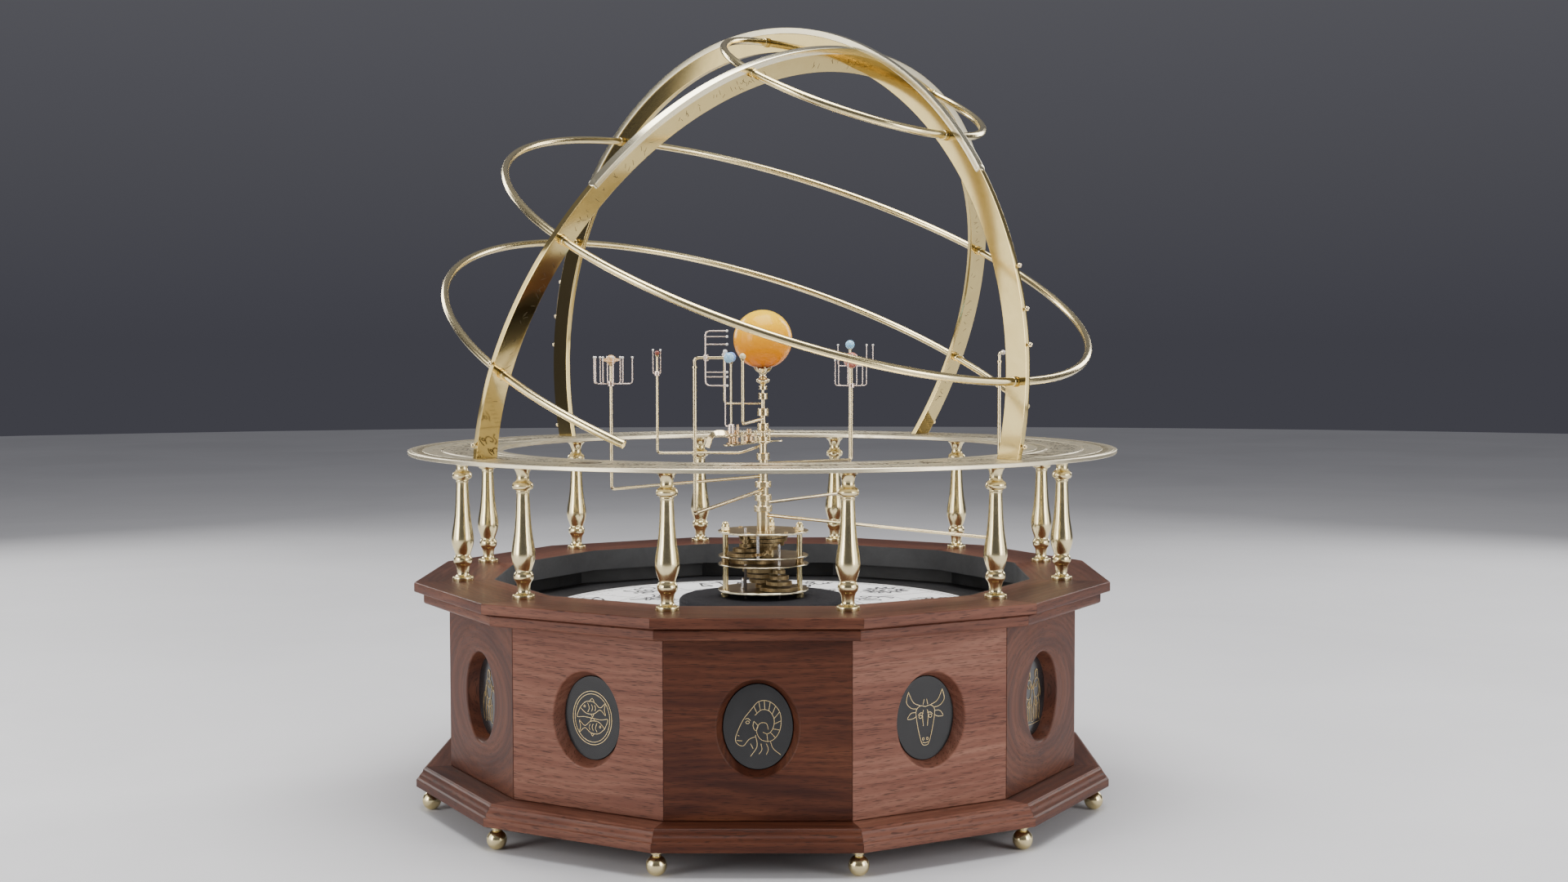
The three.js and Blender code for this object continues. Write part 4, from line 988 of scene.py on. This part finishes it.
def round_plate(form, low, high, bore):
    """A mechanism plate with a brighter rim."""
    inner, outer, e = 49.0, 49.5, 0.25
    form.add(tube_form(bore, inner, low, high, 128))
    edge = [(inner, low), (outer - e, low), (outer, low + e), (outer, high - e), (outer - e, high),
            (inner, high)]
    form.add(lathe(edge, 128, True), mark=1)


def screw(radius, height):
    return lathe([(0, -0.2), (radius, -0.2), (radius, height * 0.5), (radius * 0.8, height * 0.9),
                  (0, height)], 20)


base, middle, top = Shape(), Shape(), Shape()
round_plate(base, 219.5, 221.5, 2)
round_plate(middle, 248, 249.2, 5)
round_plate(middle, 257.2, 258.4, 5)
middle.add(gear(24.6, 250.8, 254.6, 20.8), place(-12, -6), mark=2)
for azimuth in PILLARS:
    middle.add(lathe([(3.3, 249.2), (4.9, 249.2), (4.9, 250.2), (4.2, 251), (4.2, 255.6), (4.9, 256.2),
                      (4.9, 257.2),
                      (3.3, 257.2)], 32, True), stand(PILLAR_CIRCLE, azimuth))
round_plate(top, 283, 285, 7.6)
for azimuth, radius in ((9, 38), (120, 40), (-140, 40), (-20, 44), (35, 44)):
    top.add(screw(2.2, 1.6), stand(radius, azimuth, 285))
top.add(lathe([(0, 284.9), (3.2, 284.9), (3.2, 287), (2.8, 287.6), (2.4, 289.3), (1.2, 290), (0, 290.1)], 24),
        place(6.7, -37))
base.make("base_disc", [AGED, RIM], "cabinet", "aged_brass", ["base_plate"])
middle.make("middle_discs", [AGED, RIM, WHEEL], "cabinet", "aged_brass", ["middle_plates"])
top.make("top_disc", [AGED, RIM], "cabinet", "aged_brass", ["top_plate"])

arbor = Shape()
arbor.add(rod_form(1.6, 258.4, 283, 24), place(-5, -42))
arbor.add(lathe([(0, 221.5), (3.4, 221.5), (3.4, 223), (2.8, 223.6), (2.8, 231), (2.3, 233.6), (1.2, 235.1),
                 (0, 235.5)], 28), place(-21, -16))
arbor.make("arbors", STEEL, "cabinet", "steel")
Shape().add(gear(3.4, 261, 264, 1.6), place(-5, -42)).make("arbor_pinion", AGED, "cabinet", "aged_brass")


def hexagon_nut(radius, low, high, bevel):
    rows = []
    for z, r in ((low, radius - bevel), (low + bevel, radius), (high - bevel, radius),
                 (high, radius - bevel)):
        rows.append([at(r, 60 * k, z) for k in range(6)])
    return grid(rows)


for k, azimuth in enumerate(PILLARS):
    spot, pillar = stand(PILLAR_CIRCLE, azimuth), Shape()
    pillar.add(lathe([(0, 213.3), (4.8, 213.3), (4.8, 216.8), (4.3, 217.4), (4.3, 219.2), (3, 219.2),
                      (3, 285.2),
                      (0, 285.2)], 36), spot)
    pillar.add(rod_form(5, 285.1, 285.9, 32), spot)
    pillar.add(hexagon_nut(4.9, 285.9, 290.4, 0.4), spot)
    dome = [(4.1 * math.cos(math.pi / 2 * j / 8),
             290.3 + 5.6 * math.sin(math.pi / 2 * j / 8)) for j in range(8)]
    pillar.add(lathe([(0, 290.2), *dome, (0, 295.9)], 32), spot)
    pillar.make(f"pillar_{k + 1}_turned", TURNED, "cabinet", "polished_brass", [f"pillar_{k + 1}"])

rod = Shape()
rod.add(lathe([(0, 213.3), (8, 213.3), (8, 215), (7, 216), (7, 219.2), (1.5, 219.2), (1.5, 438.4),
               (0, 438.4)], 36))
CUP = [(1.6, 438), (4.2, 438.6), (4.4, 439.4), (4.4, 441.6), (4, 442.4), (2.6, 443), (2.5, 444), (4.6, 445.4),
       (6.8, 446.8), (7.5, 448.3), (6.9, 449.8), (4.8, 451.2), (3.6, 452.6), (3.4, 454.6), (4.2, 456.4),
       (6, 458.6),
       (7.6, 460.8), (6.9, 461), (4.2, 458.6)]
rod.add(lathe([(0, 438), *[tuple(p) for p in spline(CUP, 2)], (0, 457.8)], 48))
for k in range(6):
    tip, root = at(9.4, 60 * k + 15, 462.6), at(5.6, 60 * k + 15, 457.9)
    rod.add(sweep([root, at(7.9, 60 * k + 15, 459.9), tip], circle(0.75, 8)))
    rod.add(ball(0.95, 12, 8, tip))
rod.make("centre_column", PALE, "cabinet", "polished_brass", ["centre_rod"])
Shape().add(ball(31.9, 96, 64, (0, 0, 493))).make("sun_ball", SUN, "cabinet", "sun", ["sun"])

SHAFTS = (("fast", range(4), 226, 272, FAST_AT), ("slow", range(4, 9), 249, 290, SLOW_AT))
SHAFT_LOW = 210.8
for name, members, split, high, azimuth in SHAFTS:
    spot, wheels, shaft = stand(SHAFT_CIRCLE, azimuth), Shape(), Shape()
    for index in members:
        radius, z = pitch_radii(index)[1], wheel_z(index)
        wheels.add(gear(radius - 0.55, z, z + 3.6, 1.5), spot)
        wheels.add(tube_form(1.5, 2.3, z - 0.5, z + 4.1, 24), spot)
    wheels.make(f"{name}_wheels", WHEEL, f"{name}_layshaft", "aged_brass", [f"{name}_layshaft"])
    # the lower length of each spindle takes the darkened steel, painted shade
    for z0, z1, mark in ((SHAFT_LOW, split, 1), (split, high, 0)):
        ends = soften([(0, z0), (1.5, z0), (1.5, z1), (0, z1)], 0.3, 2)
        shaft.add(lathe([tuple(p) for p in ends], 24), spot, mark=mark)
    shaft.make(f"{name}_spindle", [STEEL, SHADED_STEEL], f"{name}_layshaft", "aged_brass")


# ------------------------------------------------------------------ planet arms and planets
def collar_form(low, high, radius, bore):
    e, mid = 0.5, (low + high) / 2
    return lathe([(bore, low), (radius - e, low), (radius, low + e), (radius, mid - 0.5),
                  (radius - 0.25, mid - 0.3),
                  (radius - 0.25, mid + 0.3), (radius, mid + 0.5), (radius, high - e), (radius - e, high),
                  (bore, high)],
                 64, True)


def beside(name, offset, z, out=0.0):
    reach, azimuth = PLANETS[name][4], PLANETS[name][5]
    return at(reach + out, azimuth, z) + tangent(azimuth) * offset


def flat_bar(outline, low, high, azimuth, hole):
    """A plate with an eye round the axis; the outline is (outward, sideways) points round that eye."""
    out, side = at(1, azimuth), tangent(azimuth)

    def row(points, z):
        return [out * x + side * y + Vector((0, 0, z)) for x, y in points]
    eye = [(hole * x / math.hypot(x, y), hole * y / math.hypot(x, y)) for x, y in outline]
    inset = [(x - 0.25 * x / math.hypot(x, y), y * (1 - 0.25 / math.hypot(x, y))) for x, y in outline]
    return grid([row(eye, low), row(inset, low), row(outline, low + 0.2), row(outline, high - 0.2),
                 row(inset, high),
                 row(eye, high)], wrap=True)


def plate_outline(tail, end, half, eye):
    """Straight sides, round ends and a round eye, in order of angle round the eye."""
    begin = math.asin(half / eye)
    upper = []
    for k in range(9, 17):
        a = -math.pi / 2 + math.pi * k / 16
        upper.append((end - half + half * math.cos(a), half * math.sin(a)))
    upper += [(x, half) for x in (60, 40, 28, 20)]
    for k in range(21):
        a = begin + (math.pi - 2 * begin) * k / 20
        upper.append((eye * math.cos(a), eye * math.sin(a)))
    for k in range(8):
        a = math.pi / 2 + math.pi / 2 * k / 8
        upper.append((half - tail + half * math.cos(a), half * math.sin(a)))
    points = upper + [(x, -y) for x, y in upper] + [(end, 0), (-tail, 0)]
    return sorted(points, key=lambda p: math.atan2(p[1], p[0]))


def sleeve_parts(index):
    (low, high, radius), azimuth = PLANETS[NAMES[index]][3], PLANETS[NAMES[index]][5]
    outer, inner, form = sleeve_outer(index), sleeve_outer(index) - 0.4, Shape()
    form.add(tube_form(inner, outer, wheel_z(index), low, 40))
    form.add(collar_form(low, high, radius, inner))
    place_screw = facing(at(radius - 0.6, azimuth + 70, (low + high) / 2), at(1, azimuth + 70))
    form.add(lathe([(0, 0), (1.1, 0), (1.1, 1.5), (0.8, 1.9), (0, 1.9)], 16), place_screw)
    return form


def add_wheel(index):
    radius, z, outer = pitch_radii(index)[0], wheel_z(index), sleeve_outer(index)
    form = Shape().add(gear(max(radius - 0.55, outer + 1.2), z, z + 3.6, outer - 0.2))
    form.make(f"{NAMES[index]}_wheel", WHEEL, f"{NAMES[index]}_arm", "aged_brass")


def arm_boss(form, start, azimuth, thick):
    """The small round boss where an arm leaves its sleeve."""
    form.add(lathe([(0, 0), (thick + 0.3, 0), (thick + 0.3, 1.2), (thick, 1.6), (0, 1.6)], 20),
             facing(start, at(1, azimuth)))


def planet_cup(form, spot, radius):
    form.add(lathe([(0, -radius - 1.6), (1.4, -radius - 1.6), (1.7, -radius - 0.9), (2.2, -radius + 0.4),
                    (0, -radius + 0.4)], 20), spot)


for index, name in enumerate(NAMES):
    _, arm, drop, _, reach, azimuth, (ball_z, ball_r), thick = PLANETS[name]
    form = sleeve_parts(index)
    add_wheel(index)
    elbow, bend = arm - drop, 25 if name == "mars" else reach
    root = sleeve_outer(index)
    top_z = ball_z - ball_r + 0.2
    if name == "earth":
        for low, half, eye, hole in ((392, 6, 6.4, 3.2), (381.5, 6, 10.9, 7.5)):
            form.add(flat_bar(plate_outline(22, 95, half, eye), low, low + 1.3, azimuth, hole))
        for post in (20, 55, -17):
            form.add(rod_form(1.4, 381.6, 393.2, 20), stand(post, azimuth))
            form.add(screw(2.1, 1.5), stand(post, azimuth, 393.2))
        form.add(sweep([at(reach, azimuth, 382), at(reach, azimuth, top_z)], circle(thick, 16)))
        planet_cup(form, stand(reach, azimuth, ball_z), ball_r)
        curve = [(86, -23, 394.2), (92, -26, 395), (97, -30, 394.6), (100, -32.4, 390), (101, -33.4, 384),
                 (102, -34, 380)]
        pointer = spline([at(*spot) for spot in curve], 5)
        form.add(sweep(pointer, strip(3.2, -0.5, 0.5), up=at(1, -28, 0.6)))
        paddle = [(9, -3.4), (18, -4.6), (21, -3.6), (22.2, -1.4), (22.2, 1.4), (21, 3.6), (18, 4.6),
                  (9, 3.4)]
        out, side = at(1, 112), tangent(112)
        form.add(grid([[out * x + side * y + Vector((0, 0, z)) for x, y in paddle] for z in (381.7, 383)]))
        bobbins = Shape()
        for post, wide in ((reach, 5.2), (72, 4.6), (38, 8.5)):
            spool = [(0.8, 383.4), (wide, 383.4), (wide, 384.4), (wide * 0.55, 385), (wide * 0.55, 389.4),
                     (wide, 390),
                     (wide, 391.2), (0.8, 391.2)]
            bobbins.add(lathe(spool, 40, True), stand(post, azimuth))
            if post != reach:
                cap = [(0, 393.3), (3.2, 393.3), (3.2, 394.6), (2, 395), (2, 396), (2.8, 396.4), (2.8, 397.2),
                       (0, 397.2)]
                bobbins.add(lathe(cap, 32), stand(post, azimuth))
        bobbins.add(lathe([(0, 393.3), (1.5, 393.3), (1.5, 402), (1.1, 402.6), (0, 402.6)], 20),
                    stand(60, azimuth - 3))
        bobbins.make("earth_bobbins", COPPER, "earth_arm", "planet_brass")
    else:
        path = [at(root, azimuth, arm), at(bend, azimuth, elbow)]
        if bend < reach:
            path.append(at(reach, azimuth, elbow))
        if name in ("uranus", "pluto"):
            hook = URANUS_OUT - ball_r + 0.4 if name == "uranus" else 8.6
            path += [beside(name, 0, ball_z - 9)]
            form.add(wire(path, thick, 4))
            form.add(wire([beside(name, 0, ball_z - 9.2), beside(name, 0, ball_z),
                           beside(name, hook, ball_z)],
                          thick * 0.8, 6))
            form.add(lathe([(0, ball_z - 10.4), (thick + 0.7, ball_z - 10.2), (thick + 0.7, ball_z - 8.4),
                            (0, ball_z - 8.2)], 20), stand(reach, azimuth))
        else:
            form.add(wire([*path, at(reach, azimuth, top_z)], thick, 4))
            planet_cup(form, stand(reach, azimuth, ball_z), ball_r)
        arm_boss(form, at(root - 0.4, azimuth, arm), azimuth, thick)
    form.make(f"{name}_carrier", PALE, f"{name}_arm", "planet_brass", [f"{name}_arm"])
    offset = {"uranus": URANUS_OUT, "pluto": 8 + ball_r + 0.3}.get(name, 0)
    globe = Shape().add(ball(ball_r - 0.02, 40, 28, beside(name, offset, ball_z)))
    if name == "saturn":
        halo = [(6.4, -0.45), (9.0, -0.4), (9.35, 0), (9.0, 0.4), (6.4, 0.45)]
        tipped = place(*beside(name, 0, ball_z)) @ Matrix.Rotation(math.radians(10), 4, "X")
        globe.add(lathe(halo, 96, True), tipped)
        globe.add(tube_form(4.6, 6.6, -0.2, 0.2, 96), tipped)
    globe.make(f"{name}_ball", PLANET_LOOKS[name], f"{name}_arm", name, [name])


# ------------------------------------------------------------------ moons
def hub_form(radius, low, high, bore):
    return lathe([(bore, low), (radius - 0.4, low), (radius, low + 0.4), (radius, high - 0.4),
                  (radius - 0.4, high),
                  (bore, high)], 32, True)


moon = Shape()
moon.add(hub_form(3.4, 393.8, 404, 1.3), stand(*PLANETS["earth"][4:6]))
moon.add(wire([beside("earth", -2.4, 402), beside("earth", -6.6, 402), beside("earth", -6.6, 480)], 0.7, 3))
moon.add(ball(2.4, 24, 16, beside("earth", -6.6, 480)), mark=1)
moon.make("moon_carrier", [WIRE, PEARL], "moon_arm", "moon_wire", ["moon_arm"])

BASKETS = {
    "mars": (456, 481.5, 0.5, [(4.4, 180), (3.8, 20)]),
    "jupiter": (440, 469, 0.6, [(18.5, 180), (15.5, 158), (13, 60), (14.5, 330), (18, 15), (12.5, 250)]),
    "saturn": (447.5, 474.5, 0.6, [(18, 168), (16, 195), (14, 147), (13, 237), (12.5, 112), (12.5, 286),
                                   (14.5, 54),
                                   (15.5, 327), (22, 8)]),
    "neptune": (461, 486, 0.6, [(15.5, 157), (21.5, -23), (29, -20)]),
}
for name, (hub, height, thin, moons) in BASKETS.items():
    centre, thick = at(*PLANETS[name][4:6]), PLANETS[name][7]
    form = Shape().add(hub_form(thick + 1.6, hub - 2.5, hub + 2.5, thick + 0.3), place(centre.x, centre.y))
    for orbit, angle in moons:
        out = Vector((math.cos(math.radians(angle)), math.sin(math.radians(angle)), 0))
        points = [centre + out * (thick + 0.9) + Vector((0, 0, hub)),
                  centre + out * orbit + Vector((0, 0, hub)),
                  centre + out * orbit + Vector((0, 0, height))]
        form.add(wire(points, thin, 3.5, 10))
        form.add(ball(1.3, 16, 10, points[-1]), mark=1)
    form.make(f"{name}_moon_wires", [WIRE, PEARL], f"{name}_moons", "moon_wire", [f"{name}_moons"])

form = Shape()
OFFSETS = (-27, -18.5, -14, 13, 20.5, 26)
azimuth = PLANETS["uranus"][5]
form.add(lathe([(1.8, -2), (2.9, -2), (3.2, -1.7), (3.2, 1.7), (2.9, 2), (1.8, 2)], 32, True),
         facing(beside("uranus", 12, 475), tangent(azimuth)))
form.add(wire([beside("uranus", 34, 448, 2.4), beside("uranus", 12, 448, 2.4), beside("uranus", 12, 501, 2.4),
               beside("uranus", 34, 501, 2.4)], 0.7, 5))
for offset in OFFSETS:
    tip = beside("uranus", 34, 475 + offset, 2.4)
    if offset not in (-27, 26):
        form.add(wire([beside("uranus", 12, 475 + offset, 2.4), tip], 0.6, 3))
    form.add(ball(1.3, 16, 10, tip), mark=1)
form.make("uranus_moon_wires", [WIRE, PEARL], "uranus_moons", "moon_wire", ["uranus_moons"])


# ------------------------------------------------------------------ floor
floor = Shape().add(lathe([(0, -6), (9000, -6), (9000, 0), (0, 0)], 96))
mesh = bpy.data.meshes.new("floor")
mesh.from_pydata([p * MM for p in floor.points], [], floor.faces)
mesh.materials.append(FLOOR)
ground = bpy.data.objects.new("floor", mesh)
bpy.context.scene.collection.objects.link(ground)
